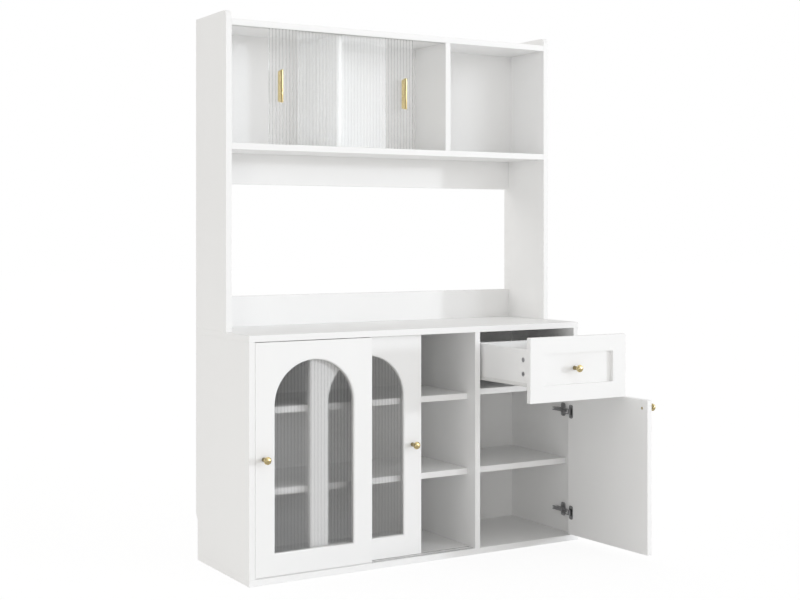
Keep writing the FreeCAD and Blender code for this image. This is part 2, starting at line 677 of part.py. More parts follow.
# Knobs
def knob():
    """Turned knob that stands on the origin and points along +Z: collar, neck and flattened ball."""
    head_centre = KNOB_PROJECTION - KNOB_HEAD_HALF_LENGTH
    rise = math.sqrt(1 - (KNOB_NECK_RADIUS / KNOB_HEAD_RADIUS) ** 2)
    neck_top = head_centre - KNOB_HEAD_HALF_LENGTH * rise
    stem = rod(KNOB_NECK_RADIUS, neck_top + KNOB_HEAD_HALF_LENGTH / 2, 0, 0, 0, Z_AXIS)
    collar = rod(KNOB_COLLAR_RADIUS, KNOB_COLLAR_THICKNESS, 0, 0, 0, Z_AXIS)
    collar = collar.makeFillet(KNOB_COLLAR_THICKNESS / 3, [collar.Edges[0]])
    ball = Part.makeSphere(KNOB_HEAD_RADIUS)
    squash = FreeCAD.Matrix()
    squash.scale(1, 1, KNOB_HEAD_HALF_LENGTH / KNOB_HEAD_RADIUS)
    ball = ball.transformGeometry(squash).translated(Vector(0, 0, head_centre))
    solid = collar.fuse([stem, ball])
    return solid.cut(rod(KNOB_SCREW_RADIUS + FIT, KNOB_SCREW_BITE + OVERRUN, 0, 0, -OVERRUN, Z_AXIS))


def knob_screw(panel_thickness):
    """Screw of a knob, with the knob's seat at the origin and its head on the far face of the panel."""
    rear = -panel_thickness + KNOB_SCREW_HEAD_HEIGHT
    shank = rod(KNOB_SCREW_RADIUS, KNOB_SCREW_BITE - BOARD_FIT - rear, 0, 0, rear, Z_AXIS)
    head = rod(KNOB_SCREW_HEAD_RADIUS, KNOB_SCREW_HEAD_HEIGHT, 0, 0, -panel_thickness, Z_AXIS)
    return head.makeFillet(KNOB_SCREW_HEAD_HEIGHT / 3, [head.Edges[2]]).fuse(shank)


def knob_bore(x, face, rear, z):
    """Hole through a panel for a knob screw, counterbored behind so that the head lies flush."""
    hole = rod(KNOB_SCREW_RADIUS + FIT, rear - face + 2 * OVERRUN, x, face - OVERRUN, z, Y_AXIS)
    sink = rod(KNOB_SCREW_HEAD_RADIUS + FIT, KNOB_SCREW_HEAD_HEIGHT + OVERRUN, x,
               rear - KNOB_SCREW_HEAD_HEIGHT, z, Y_AXIS)
    return hole.fuse(sink)


def faced(solid, x, y, z):
    """Turn a piece that points along +Z so that it points out of a front, and set it there."""
    turned = solid.rotated(Vector(0, 0, 0), X_AXIS, 90)
    return turned.translated(Vector(x, y, z))


# Hutch panes
def pane(left, face):
    """Frameless fluted pane that stands in the lower groove and reaches into the upper one."""
    return fluted_sheet(left, PANE_WIDTH, face, PANE_THICKNESS, PANE_BOTTOM, PANE_TOP)


def pane_pull(x_low, face):
    """Bar on edge, bonded to a pane, with chamfers in front and ends that slant in towards the glass."""
    z_low = PULL_CENTRE_HEIGHT - PULL_LENGTH / 2
    z_high = z_low + PULL_LENGTH
    outer = face - PULL_DEPTH
    corners = [
        Vector(x_low, face, z_low + PULL_END_SLANT), Vector(x_low, outer, z_low),
        Vector(x_low, outer, z_high), Vector(x_low, face, z_high - PULL_END_SLANT),
    ]
    side = Part.Face(Part.makePolygon(corners + corners[:1]))
    solid = side.extrude(Vector(PULL_WIDTH, 0, 0))
    front = [edge for edge in solid.Edges if edge.BoundBox.YMax < outer + BOARD_FIT]
    return solid.makeChamfer(PULL_CHAMFER, front)


# Drawer
def drawer_front():
    """Front board with a sunk field between flat stiles and rails."""
    bottom, top = DRAWER_FRONT_BOTTOM, DOOR_TOP
    solid = board(FRONT_LEFT, FRONT_RIGHT, DRAWER_FACE, DRAWER_FRONT_REAR, bottom, top)
    field = block(FRONT_LEFT + DRAWER_STILE, FRONT_RIGHT - DRAWER_STILE,
                  DRAWER_FACE - OVERRUN, DRAWER_FACE + DRAWER_RECESS_DEPTH,
                  bottom + DRAWER_STILE, top - DRAWER_STILE)
    seat = DRAWER_FACE + DRAWER_RECESS_DEPTH
    bore = knob_bore(DRAWER_KNOB_X, seat, DRAWER_FRONT_REAR, (bottom + top) / 2)
    return solid.cut([field, bore, drawer_bottom_body(FIT)])


def drawer_side_right():
    """Side of the drawer box, grooved for the bottom and bored for the cams."""
    solid = board(DRAWER_INNER_RIGHT, DRAWER_OUTER_RIGHT, DRAWER_FRONT_REAR, DRAWER_END,
                  DRAWER_BOX_BOTTOM, DRAWER_BOX_TOP)
    return solid.cut([drawer_bottom_body(FIT)] + drawer_cams(FIT))


def drawer_bottom_body(gap=0):
    """Outline of the bottom panel, which slides in grooves and lies under the drawer back."""
    half = DRAWER_INNER_RIGHT - DRAWER_CENTRE + DRAWER_GROOVE_DEPTH - BOARD_FIT + gap
    return block(DRAWER_CENTRE - half, DRAWER_CENTRE + half,
                 DRAWER_FRONT_REAR - DRAWER_GROOVE_DEPTH + BOARD_FIT - gap, DRAWER_END,
                 DRAWER_PANEL_BOTTOM - gap, DRAWER_PANEL_TOP + gap)


def drawer_back():
    """Rear board of the drawer box, standing on the bottom panel."""
    half = DRAWER_INNER_RIGHT - DRAWER_CENTRE
    return board(DRAWER_CENTRE - half, DRAWER_CENTRE + half,
                 DRAWER_END - DRAWER_SIDE_THICKNESS, DRAWER_END, DRAWER_PANEL_TOP, DRAWER_BOX_TOP)


def drawer_cams(gap=0):
    """Round cams in the right side of the drawer, or their bores when a gap is given."""
    solids = []
    for inset in CAM_EDGE_INSETS:
        solids.append(rod(CAM_RADIUS + gap, CAM_DEPTH + gap, DRAWER_OUTER_RIGHT - CAM_DEPTH - gap,
                          DRAWER_FRONT_REAR + CAM_SETBACK, DRAWER_BOX_TOP - inset, X_AXIS))
    return solids


def drawer_fasteners():
    """Cams on both sides of the drawer and the screw of its knob."""
    right = drawer_cams()
    slots = [
        block(DRAWER_OUTER_RIGHT - CAM_SLOT_DEPTH, DRAWER_OUTER_RIGHT + OVERRUN,
              cam.BoundBox.Center.y - CAM_RADIUS / 2, cam.BoundBox.Center.y + CAM_RADIUS / 2,
              cam.BoundBox.Center.z - CAM_SLOT_WIDTH / 2, cam.BoundBox.Center.z + CAM_SLOT_WIDTH / 2)
        for cam in right
    ]
    right = [cam.cut(slot) for cam, slot in zip(right, slots)]
    left = [mirrored(cam, DRAWER_CENTRE) for cam in right]
    seat = DRAWER_FACE + DRAWER_RECESS_DEPTH
    screw = knob_screw(DRAWER_FRONT_REAR - seat)
    return right + left + [faced(screw, DRAWER_KNOB_X, seat, (DRAWER_FRONT_BOTTOM + DOOR_TOP) / 2)]


# Drawer runners
def roller(y, z, gap=0):
    """Roller on an axle across the width, with its bore."""
    x_low = DRAWER_OUTER_RIGHT + RUNNER_SHEET + BOARD_FIT + gap
    solid = rod(ROLLER_RADIUS, ROLLER_WIDTH, x_low, y, z, X_AXIS)
    solid = solid.makeFillet(EDGE_RADIUS, solid.Edges)
    return solid.cut(rod(ROLLER_AXLE_RADIUS + FIT, ROLLER_WIDTH + 2 * OVERRUN, x_low - OVERRUN, y, z, X_AXIS))


def pair(solid):
    """A runner piece on the right of the drawer and its twin on the left."""
    return [solid, mirrored(solid, DRAWER_CENTRE)]


def drawer_runner_members():
    """Folded runner under each side of the drawer, with a stub axle at its rear end."""
    wall_low = DRAWER_OUTER_RIGHT
    wall_high = wall_low + RUNNER_SHEET
    start = DRAWER_FRONT_REAR
    flange_end = DRAWER_ROLLER_Y - ROLLER_RADIUS - ROLLER_END_MARGIN
    band = block(wall_low, wall_high, start, DRAWER_END, RUNNER_SOLE, RUNNER_SOLE + RUNNER_BAND_HEIGHT)
    sole = block(DRAWER_INNER_RIGHT, wall_high, start, DRAWER_END, RUNNER_SOLE, DRAWER_BOX_BOTTOM)
    flange = block(wall_low, wall_high + RUNNER_FLANGE_WIDTH, start, flange_end, RUNNER_SOLE, DRAWER_BOX_BOTTOM)
    lug = block(wall_low, wall_high, flange_end, DRAWER_END,
                CHANNEL_FLOOR + ROLLER_PLAY, RUNNER_SOLE + RUNNER_BAND_HEIGHT)
    axle = rod(ROLLER_AXLE_RADIUS, ROLLER_WIDTH + BOARD_FIT + RUNNER_SHEET, wall_low,
               DRAWER_ROLLER_Y, DRAWER_ROLLER_Z, X_AXIS)
    return pair(band.fuse([sole, flange, lug, axle]).removeSplitter())


def cabinet_runner_members():
    """Channel on the wall beside each side of the drawer, with a stub axle at its front end."""
    wall_low = INNER_RIGHT - RUNNER_SHEET
    start = FRONT + RUNNER_FRONT_SETBACK
    end = BASE_BACK_FRONT - RUNNER_REAR_GAP
    flange_start = CABINET_ROLLER_Y + ROLLER_RADIUS + ROLLER_END_MARGIN
    ceiling = CHANNEL_FLOOR + RUNNER_CHANNEL_INSIDE
    lip = wall_low - RUNNER_LIP_WIDTH + RUNNER_SHEET
    web = block(wall_low, INNER_RIGHT, start, end, CHANNEL_FLOOR - RUNNER_SHEET, ceiling + RUNNER_SHEET)
    floor = block(lip, INNER_RIGHT, flange_start, end, CHANNEL_FLOOR - RUNNER_SHEET, CHANNEL_FLOOR)
    roof = block(lip, INNER_RIGHT, start, end, ceiling, ceiling + RUNNER_SHEET)
    lug = block(wall_low, INNER_RIGHT, start, flange_start,
                CABINET_ROLLER_Z - ROLLER_RADIUS, ceiling + RUNNER_SHEET)
    axle_low = DRAWER_OUTER_RIGHT + RUNNER_SHEET + BOARD_FIT
    axle = rod(ROLLER_AXLE_RADIUS, INNER_RIGHT - axle_low, axle_low, CABINET_ROLLER_Y, CABINET_ROLLER_Z, X_AXIS)
    return pair(web.fuse([floor, roof, lug, axle]).removeSplitter())


# Hinged door, drawn shut and then swung about its pivot
def swung(shape):
    """A piece of the hinged door turned from its shut place to its open place."""
    return shape.rotated(Vector(PIVOT_X, PIVOT_Y, 0), Z_AXIS, HINGED_DOOR_OPENING)


def hinged_door_panel():
    """Plain door of the right bay with bores for the knob screw and the hinge cups."""
    rear = FRONT + HINGED_DOOR_THICKNESS
    solid = board(FRONT_LEFT, FRONT_RIGHT, FRONT, rear, DOOR_BOTTOM, HINGED_DOOR_TOP)
    bore = knob_bore(FRONT_LEFT + HINGED_KNOB_INSET, FRONT, rear, HINGED_KNOB_HEIGHT)
    cups = [
        rod(CUP_RADIUS + FIT, CUP_DEPTH + OVERRUN, cup_centre(), rear - CUP_DEPTH, z, Y_AXIS)
        for z in HINGE_HEIGHTS
    ]
    return swung(solid.cut([bore] + cups))


def cup_centre():
    """Middle of the hinge cups across the door."""
    return FRONT_RIGHT - CUP_FLANGE_EDGE - CUP_FLANGE_WIDTH / 2


def hinge_cups():
    """Cup of each hinge, sunk in the door, with a flange held by a screw at each end."""
    rear = FRONT + HINGED_DOOR_THICKNESS
    x = cup_centre()
    half = CUP_FLANGE_WIDTH / 2
    solids = []
    for z in HINGE_HEIGHTS:
        z_low, z_high = z - CUP_FLANGE_HEIGHT / 2, z + CUP_FLANGE_HEIGHT / 2
        flange = block(x - half, x + half, rear, rear + CUP_FLANGE_THICKNESS, z_low, z_high)
        upright = [edge for edge in flange.Edges
                   if edge.BoundBox.YLength > CUP_FLANGE_THICKNESS / 2]
        flange = flange.makeFillet(half * 2 / 3, upright)
        cup = rod(CUP_RADIUS, CUP_DEPTH, x, rear - CUP_DEPTH, z, Y_AXIS)
        hollow = rod(CUP_RADIUS - CUP_WALL, CUP_DEPTH + OVERRUN, x, rear - CUP_DEPTH + CUP_WALL, z, Y_AXIS)
        reach = CUP_FLANGE_HEIGHT / 2 - PLATE_SCREW_INSET
        heads = [rod(PLATE_SCREW_RADIUS * 2, CUP_FLANGE_THICKNESS * 2, x, rear, z + side * reach, Y_AXIS)
                 for side in (-1, 1)]
        solids.append(swung(flange.fuse([cup] + heads).cut(hollow)))
    return solids


def hinge_links():
    """Link of each hinge: two cheeks and a web, turning on the pin of the arm."""
    far = HINGE_PIN_Y - LINK_LENGTH
    x_low, x_high = HINGE_PIN_X - LINK_WIDTH / 2, HINGE_PIN_X + LINK_WIDTH / 2
    outer = LINK_CHEEK_SPACING / 2 + LINK_CHEEK
    solids = []
    for z in HINGE_HEIGHTS:
        body = block(x_low, x_high, far, HINGE_PIN_Y, z - outer, z + outer)
        eye = rod(LINK_EYE_RADIUS, 2 * outer, HINGE_PIN_X, HINGE_PIN_Y, z - outer, Z_AXIS)
        inside = LINK_CHEEK_SPACING / 2
        gap = block(x_low + LINK_WEB, x_high + OVERRUN, far - OVERRUN, HINGE_PIN_Y + OVERRUN,
                    z - inside, z + inside)
        clear = block(x_low - OVERRUN, x_high + OVERRUN, far + LINK_WEB_LENGTH, HINGE_PIN_Y + OVERRUN,
                      z - inside, z + inside)
        bore = rod(HINGE_PIN_RADIUS + FIT, 2 * outer + 2 * OVERRUN, HINGE_PIN_X, HINGE_PIN_Y,
                   z - outer - OVERRUN, Z_AXIS)
        tip = rod(LINK_WIDTH / 2, 2 * outer, HINGE_PIN_X, far, z - outer, Z_AXIS)
        solids.append(body.fuse([eye]).cut([gap, clear, bore]).fuse(tip).removeSplitter())
    return solids


def hinge_arms():
    """Arm of each hinge: a bar with a slotted rear end and the pin that carries the link."""
    x_low = INNER_RIGHT - ARM_STANDOFF - ARM_THICKNESS
    x_high = INNER_RIGHT - ARM_STANDOFF
    half = ARM_WIDTH / 2
    solids = []
    for z in HINGE_HEIGHTS:
        bar = block(x_low, x_high, HINGE_PIN_Y - LINK_EYE_RADIUS, FRONT + ARM_REAR, z - half, z + half)
        nose = block(HINGE_PIN_X - LINK_EYE_RADIUS, x_low, HINGE_PIN_Y - LINK_EYE_RADIUS,
                     HINGE_PIN_Y + LINK_EYE_RADIUS, z - half, z + half)
        slot = block(x_low - OVERRUN, x_high + OVERRUN,
                     FRONT + ARM_REAR - ARM_SLOT_LENGTH, FRONT + ARM_REAR + OVERRUN,
                     z - ARM_SLOT_WIDTH / 2, z + ARM_SLOT_WIDTH / 2)
        reach = LINK_CHEEK_SPACING / 2 + LINK_CHEEK
        pin = rod(HINGE_PIN_RADIUS, 2 * reach, HINGE_PIN_X, HINGE_PIN_Y, z - reach, Z_AXIS)
        solids.append(bar.fuse([nose, pin]).cut(slot).removeSplitter())
    return solids


def hinge_mounting_plates():
    """Plate of each hinge, screwed to the right side, with a raised seat for the arm."""
    solids = []
    y_low = FRONT + PLATE_FRONT
    y_high = y_low + PLATE_LENGTH
    for z in HINGE_HEIGHTS:
        wings = block(INNER_RIGHT - PLATE_THICKNESS, INNER_RIGHT, y_low, y_high,
                      z - PLATE_HEIGHT / 2, z + PLATE_HEIGHT / 2)
        corners = [edge for edge in wings.Edges if edge.BoundBox.XLength > PLATE_THICKNESS / 2]
        wings = wings.makeFillet(PLATE_LENGTH / 3, corners)
        seat = block(INNER_RIGHT - ARM_STANDOFF, INNER_RIGHT, y_low, FRONT + ARM_REAR - ARM_SLOT_LENGTH,
                     z - ARM_WIDTH / 2, z + ARM_WIDTH / 2)
        heads = [
            rod(PLATE_SCREW_RADIUS * 2, PLATE_THICKNESS + PLATE_SCREW_RADIUS / 2,
                INNER_RIGHT, (y_low + y_high) / 2, z + side * (PLATE_HEIGHT / 2 - PLATE_SCREW_INSET), X_AXIS * -1)
            for side in (-1, 1)
        ]
        solids.append(wings.fuse([seat] + heads))
    return solids


def build_base():
    """Write the base cabinet."""
    save("base_bottom_board", base_bottom_board())
    save("base_side_left", base_side(LEFT))
    save("base_side_right", base_side(INNER_RIGHT))
    save("base_divider", base_divider())
    save("base_countertop", base_countertop())
    save("base_back_panel", base_back_body())
    sliding_bay = (INNER_LEFT, DIVIDER_LEFT, SLIDING_SHELF_SETBACK)
    save("sliding_bay_shelf_upper", loose_shelf(*sliding_bay, UPPER_SHELF_UNDERSIDE))
    save("sliding_bay_shelf_lower", loose_shelf(*sliding_bay, LOWER_SHELF_UNDERSIDE))
    save("drawer_support_board", drawer_support_board())
    save("right_bay_shelf", loose_shelf(DIVIDER_RIGHT, INNER_RIGHT, RIGHT_SHELF_SETBACK, RIGHT_SHELF_UNDERSIDE))
    save("sliding_track_lower", sliding_track_lower())
    save("sliding_track_upper", sliding_track_upper())
    save("shelf_pins", shelf_pins())
    save("carcass_screws", carcass_screws())
    save("carcass_dowels", carcass_dowels())


def build_hutch():
    """Write the hutch."""
    save("hutch_side_left", hutch_side(LEFT))
    save("hutch_side_right", hutch_side(INNER_RIGHT))
    save("hutch_top_board", hutch_board(TOP_BOARD_UNDERSIDE))
    save("hutch_shelf", hutch_board(HUTCH_SHELF_UNDERSIDE))
    middle = INNER_LEFT + (PANE_BAY_WIDTH - BOARD) * MIDDLE_DIVIDER_WIDTH_SHARE
    save("hutch_divider_middle", hutch_divider(middle, MIDDLE_DIVIDER_SETBACK))
    save("hutch_divider_right", hutch_divider(PANE_BAY_RIGHT, 0))
    save("hutch_back_panel", hutch_back_body())
    save("hutch_rail_upper", hutch_rail(HUTCH_SHELF_UNDERSIDE - RAIL_HEIGHT))
    save("hutch_rail_lower", hutch_rail(BASE_HEIGHT))
    save("pane_tracks", pane_tracks())


def build_sliding_door(name, left, face, knob_x):
    """Write one sliding door."""
    save(f"{name}_frame", door_frame(left, face, knob_x))
    save(f"{name}_glass", door_glass(left, face))
    save(f"{name}_glass_bead", door_glass_bead(left, face))
    save(f"{name}_knob", faced(knob(), knob_x, face, DOOR_KNOB_HEIGHT))
    save(f"{name}_knob_screw", faced(knob_screw(DOOR_THICKNESS), knob_x, face, DOOR_KNOB_HEIGHT))
    save(f"{name}_glides", door_glides(left, face))


def build_pane(name, left, face, pull_x):
    """Write one hutch pane and its pull."""
    save(f"{name}_glass", pane(left, face))
    save(f"{name}_pull", pane_pull(pull_x, face))


def build_drawer():
    """Write the drawer, its runners and rollers."""
    save("drawer_front", drawer_front())
    save("drawer_side_right", drawer_side_right())
    save("drawer_side_left", mirrored(drawer_side_right(), DRAWER_CENTRE))
    save("drawer_back", drawer_back())
    save("drawer_bottom", drawer_bottom_body())
    seat = DRAWER_FACE + DRAWER_RECESS_DEPTH
    save("drawer_knob", faced(knob(), DRAWER_KNOB_X, seat, (DRAWER_FRONT_BOTTOM + DOOR_TOP) / 2))
    save("drawer_fasteners", drawer_fasteners())
    save("drawer_runner_members", drawer_runner_members())
    save("cabinet_runner_members", cabinet_runner_members())
    save("drawer_rollers", pair(roller(DRAWER_ROLLER_Y, DRAWER_ROLLER_Z)))
    save("cabinet_rollers", pair(roller(CABINET_ROLLER_Y, CABINET_ROLLER_Z)))


def build_hinged_door():
    """Write the hinged door and its hinges."""
    save("hinged_door_panel", hinged_door_panel())
    place = (FRONT_LEFT + HINGED_KNOB_INSET, FRONT, HINGED_KNOB_HEIGHT)
    save("hinged_door_knob", swung(faced(knob(), *place)))
    save("hinged_door_knob_screw", swung(faced(knob_screw(HINGED_DOOR_THICKNESS), *place)))
    save("hinge_cups", hinge_cups())
    save("hinge_links", hinge_links())
    save("hinge_arms", hinge_arms())
    save("hinge_mounting_plates", hinge_mounting_plates())


build_base()
build_hutch()
build_sliding_door("front_door", DOOR_LEFTS[0], DOOR_FACES[0], DOOR_LEFTS[0] + FRONT_KNOB_INSET)
build_sliding_door("rear_door", DOOR_LEFTS[1], DOOR_FACES[1], DOOR_LEFTS[1] + DOOR_WIDTH - REAR_KNOB_INSET)
build_pane("front_pane", PANE_LEFTS[0], PANE_FACES[0], PANE_LEFTS[0] + FRONT_PULL_INSET)
build_pane("rear_pane", PANE_LEFTS[1], PANE_FACES[1],
           PANE_LEFTS[1] + PANE_WIDTH - REAR_PULL_INSET - PULL_WIDTH)
build_drawer()
build_hinged_door()
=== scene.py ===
import json
import math

import bmesh
import bpy
from bpy.props import FloatProperty, FloatVectorProperty, IntProperty, PointerProperty
from mathutils import Matrix, Vector


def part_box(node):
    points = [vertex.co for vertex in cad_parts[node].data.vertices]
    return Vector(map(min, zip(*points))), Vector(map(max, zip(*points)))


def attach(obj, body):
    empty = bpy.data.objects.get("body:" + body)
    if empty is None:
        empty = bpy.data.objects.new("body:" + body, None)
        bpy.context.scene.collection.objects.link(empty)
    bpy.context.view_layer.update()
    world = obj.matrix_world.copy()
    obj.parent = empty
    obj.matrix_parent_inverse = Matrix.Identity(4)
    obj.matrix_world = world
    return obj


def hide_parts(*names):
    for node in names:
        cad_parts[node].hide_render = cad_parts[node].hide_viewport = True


bl_info = {
    "name": "Buffet Cabinet",
    "version": (1, 0, 0),
    "blender": (4, 5, 0),
    "location": "3D View > Sidebar > Buffet",
    "description": "Fluted glass, brass fittings, finishes and studio of a buffet cabinet with a hutch",
    "category": "Object",
}

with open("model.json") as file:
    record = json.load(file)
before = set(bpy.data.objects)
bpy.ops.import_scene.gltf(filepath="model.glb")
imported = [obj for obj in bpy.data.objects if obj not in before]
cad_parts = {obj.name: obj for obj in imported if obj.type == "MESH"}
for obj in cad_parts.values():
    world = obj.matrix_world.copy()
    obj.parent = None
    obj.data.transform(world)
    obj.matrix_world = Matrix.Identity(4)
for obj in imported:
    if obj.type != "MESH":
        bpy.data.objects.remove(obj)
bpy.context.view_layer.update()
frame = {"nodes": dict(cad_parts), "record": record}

NODES = frame["nodes"]
RECORD = frame["record"]
BODY_OF = {node: body for body, nodes in RECORD["behaviour"]["bodies"].items() for node in nodes}
SLOT_OF = {part["node"]: part["material_slot"] for part in RECORD["subparts"]}
JOINTS = {joint["name"]: joint for joint in RECORD["behaviour"]["joints"]}

# Lengths that no one would change, in metres
MERGE_DISTANCE = 1e-6
GROOVE_LIP = 0.0006
KNOB_EDGE = 0.0002
KNOB_SEAT = 0.0012
ROLLER_EDGE = 0.0005
ROLLER_DISH = 0.0008
ROLLER_GROOVE = 0.0004
BACK_MARGIN = 0.0001
FLOOR_HALF_WIDTH = 30.0
FLOOR_DROP = 0.0005
LAMP_DISTANCE = 4.0

# Shares and strengths of the finishes and of the studio
SEAM_TOLERANCE = 0.001
HEAD_START = -0.93
# The next two: sharpness and darkness of the painted shade between the glass's flutes
VALLEY_SHARPNESS = 3.5
VALLEY_TINT = 0.55
# The next one: darkness of the painted shade on a knob's collar and neck
PAINTED_SHADE_TINT = 0.3
FLOOR_GLOW_SHARE = 0.88
FLOOR_GLOW = 1.03
FLOOR_MIRRORED = 0.5
BRIGHT_SIDE = (0.86, -0.5, 0.1)
MIRRORED_GAIN = 1.25
SENSOR_WIDTH = 36.0


# Sizes and colours
class BuffetGlass(bpy.types.PropertyGroup):
    """Sizes and colour of the fluted glass."""

    flute_pitch: FloatProperty(
        name="Flute pitch", description="Distance from one flute to the next",
        default=0.0113, min=0.004, unit="LENGTH")
    flute_depth: FloatProperty(
        name="Flute depth", description="Height of a flute above the valleys beside it",
        default=0.0018, min=0.0001, unit="LENGTH")
    facets: IntProperty(
        name="Facets", description="Strips of faces that round each flute", default=10, min=4)
    door_tint: FloatVectorProperty(
        name="Door tint", description="Colour that the light takes on at each face of a door's glass",
        default=(0.92, 0.92, 0.92), min=0, max=1, subtype="COLOR")
    pane_tint: FloatVectorProperty(
        name="Pane tint", description="Colour that the light takes on at each face of a hutch pane",
        default=(0.995, 0.996, 0.995), min=0, max=1, subtype="COLOR")
    # Strength of the painted shade between the flutes
    valley_shade: FloatProperty(
        name="Valley shade", description="How much darker the glass looks between two flutes",
        default=0.8, min=0, max=1)


class BuffetFittings(bpy.types.PropertyGroup):
    """Sizes and colours of the knobs, pulls, hinges and rollers."""

    neck_radius: FloatProperty(
        name="Neck radius", description="Radius of a knob's neck", default=0.006, min=0.001, unit="LENGTH")
    collar_radius: FloatProperty(
        name="Collar radius", description="Radius of a knob's collar",
        default=0.0066, min=0.002, unit="LENGTH")
    collar_height: FloatProperty(
        name="Collar height", description="Thickness of a knob's collar",
        default=0.003, min=0.001, unit="LENGTH")
    head_half: FloatProperty(
        name="Half head", description="Half the length of a knob's round head",
        default=0.0075, min=0.002, unit="LENGTH")
    turning_steps: IntProperty(
        name="Turning steps", description="Facets round a turned piece", default=48, min=12)
    end_slant: FloatProperty(
        name="End slant", description="How much shorter a pull is at the glass, at each end",
        default=0.005, min=0, unit="LENGTH")
    chamfer: FloatProperty(
        name="Chamfer", description="Width of the chamfer along a pull's front edges",
        default=0.0026, min=0.0001, unit="LENGTH")
    edge_radius: FloatProperty(
        name="Edge radius", description="Rounding of a pull's edges",
        default=0.0003, min=0.0001, unit="LENGTH")
    roller_width: FloatProperty(
        name="Roller width", description="Width of a runner's roller",
        default=0.0076, min=0.001, unit="LENGTH")
    roller_bore: FloatProperty(
        name="Roller bore", description="Radius of a roller's bore",
        default=0.00305, min=0.001, unit="LENGTH")
    brass: FloatVectorProperty(
        name="Brass", description="Colour of the brass", default=(0.82, 0.67, 0.35),
        min=0, max=1, subtype="COLOR")
    plating: FloatVectorProperty(
        name="Hinge steel", description="Colour of the hinges", default=(0.43, 0.43, 0.44),
        min=0, max=1, subtype="COLOR")


class BuffetBoards(bpy.types.PropertyGroup):
    """Colours of the painted boards."""

    board: FloatVectorProperty(
        name="Board", description="Colour of the lacquered boards", default=(0.935, 0.935, 0.932),
        min=0, max=1, subtype="COLOR")
    back: FloatVectorProperty(
        name="Back panel", description="Colour of the thin back panels and the drawer bottom",
        default=(0.94, 0.94, 0.937), min=0, max=1, subtype="COLOR")


class BuffetStudio(bpy.types.PropertyGroup):
    """Light and view."""

    key_bearing: FloatProperty(
        name="Key bearing", description="Direction of the narrow key light, to the right of straight ahead",
        default=math.radians(54), subtype="ANGLE")
    key_height: FloatProperty(
        name="Key height", description="Height of the key light above the horizon",
        default=math.radians(5), subtype="ANGLE")
    key_spread: FloatProperty(
        name="Key spread", description="Apparent width of the key light",
        default=math.radians(4), subtype="ANGLE")
    key_strength: FloatProperty(
        name="Key strength", description="Strength of the key light", default=0.69, min=0)
    soft_bearing: FloatProperty(
        name="Soft light bearing", description="Direction of the soft light, to the right of straight ahead",
        default=math.radians(34), subtype="ANGLE")
    soft_height: FloatProperty(
        name="Soft light height", description="Height of the soft light above the horizon",
        default=math.radians(18), subtype="ANGLE")
    soft_spread: FloatProperty(
        name="Soft light spread", description="Apparent width of the soft light",
        default=math.radians(21), subtype="ANGLE")
    soft_strength: FloatProperty(
        name="Soft light strength", description="Strength of the soft light", default=0.36, min=0)
    rear_bearing: FloatProperty(
        name="Rear light bearing", description="Direction of the fill light behind on the left",
        default=math.radians(-115), subtype="ANGLE")
    rear_height: FloatProperty(
        name="Rear light height", description="Height of the rear light above the horizon",
        default=math.radians(20), subtype="ANGLE")
    rear_spread: FloatProperty(
        name="Rear light spread", description="Apparent width of the rear light",
        default=math.radians(40), subtype="ANGLE")
    rear_strength: FloatProperty(
        name="Rear light strength", description="Strength of the rear light", default=0.42, min=0)
    fill_bearing: FloatProperty(
        name="Fill bearing", description="Direction of the weak light on the camera's side",
        default=math.radians(-37), subtype="ANGLE")
    fill_height: FloatProperty(
        name="Fill height", description="Height of the fill light above the horizon",
        default=math.radians(5), subtype="ANGLE")
    fill_spread: FloatProperty(
        name="Fill spread", description="Apparent width of the fill light",
        default=math.radians(10), subtype="ANGLE")
    fill_strength: FloatProperty(
        name="Fill strength", description="Strength of the fill light", default=0.18, min=0)
    top_spread: FloatProperty(
        name="Top light spread", description="Apparent width of the light overhead",
        default=math.radians(60), subtype="ANGLE")
    top_strength: FloatProperty(
        name="Top light strength", description="Strength of the light overhead", default=0.32, min=0)
    key_colour: FloatVectorProperty(
        name="Key colour", description="Colour of the two lights in front",
        default=(0.92, 0.95, 1.0), min=0, max=1, subtype="COLOR")
    room_colour: FloatVectorProperty(
        name="Room colour", description="Colour of the even light and of the fill lights",
        default=(1.0, 0.99, 0.97), min=0, max=1, subtype="COLOR")
    room_light: FloatProperty(
        name="Room light", description="Even light from all round", default=0.65, min=0)
    dark_side: FloatProperty(
        name="Dark side", description="How bright metal sees the room on the side away from the key light",
        default=0.25, min=0, max=1)
    camera_place: FloatVectorProperty(
        name="Camera place", description="Where the camera stands",
        default=(-2.22785, -3.77801, 1.02414), subtype="XYZ", unit="LENGTH")
    camera_turn: FloatProperty(
        name="Camera turn", description="Direction of the level camera about the vertical",
        default=-0.538, subtype="ANGLE")
    lens: FloatProperty(
        name="Lens", description="Focal length in millimetres for a 36 mm wide sensor", default=60.93, min=10)
    rise: FloatProperty(
        name="Rise", description="Vertical shift of the lens, as a share of the picture's width",
        default=-0.0842)


# Shader writing
class Wire:
    """A shader output that joins in Python expressions. Each operator adds a Math node."""

    def __init__(self, tree, socket):
        self.tree = tree
        self.socket = socket

    def __add__(self, other):
        return self.tree.math("ADD", self, other)

    def __sub__(self, other):
        return self.tree.math("SUBTRACT", self, other)

    def __rsub__(self, other):
        return self.tree.math("SUBTRACT", other, self)

    def __mul__(self, other):
        return self.tree.math("MULTIPLY", self, other)

    __radd__ = __add__
    __rmul__ = __mul__


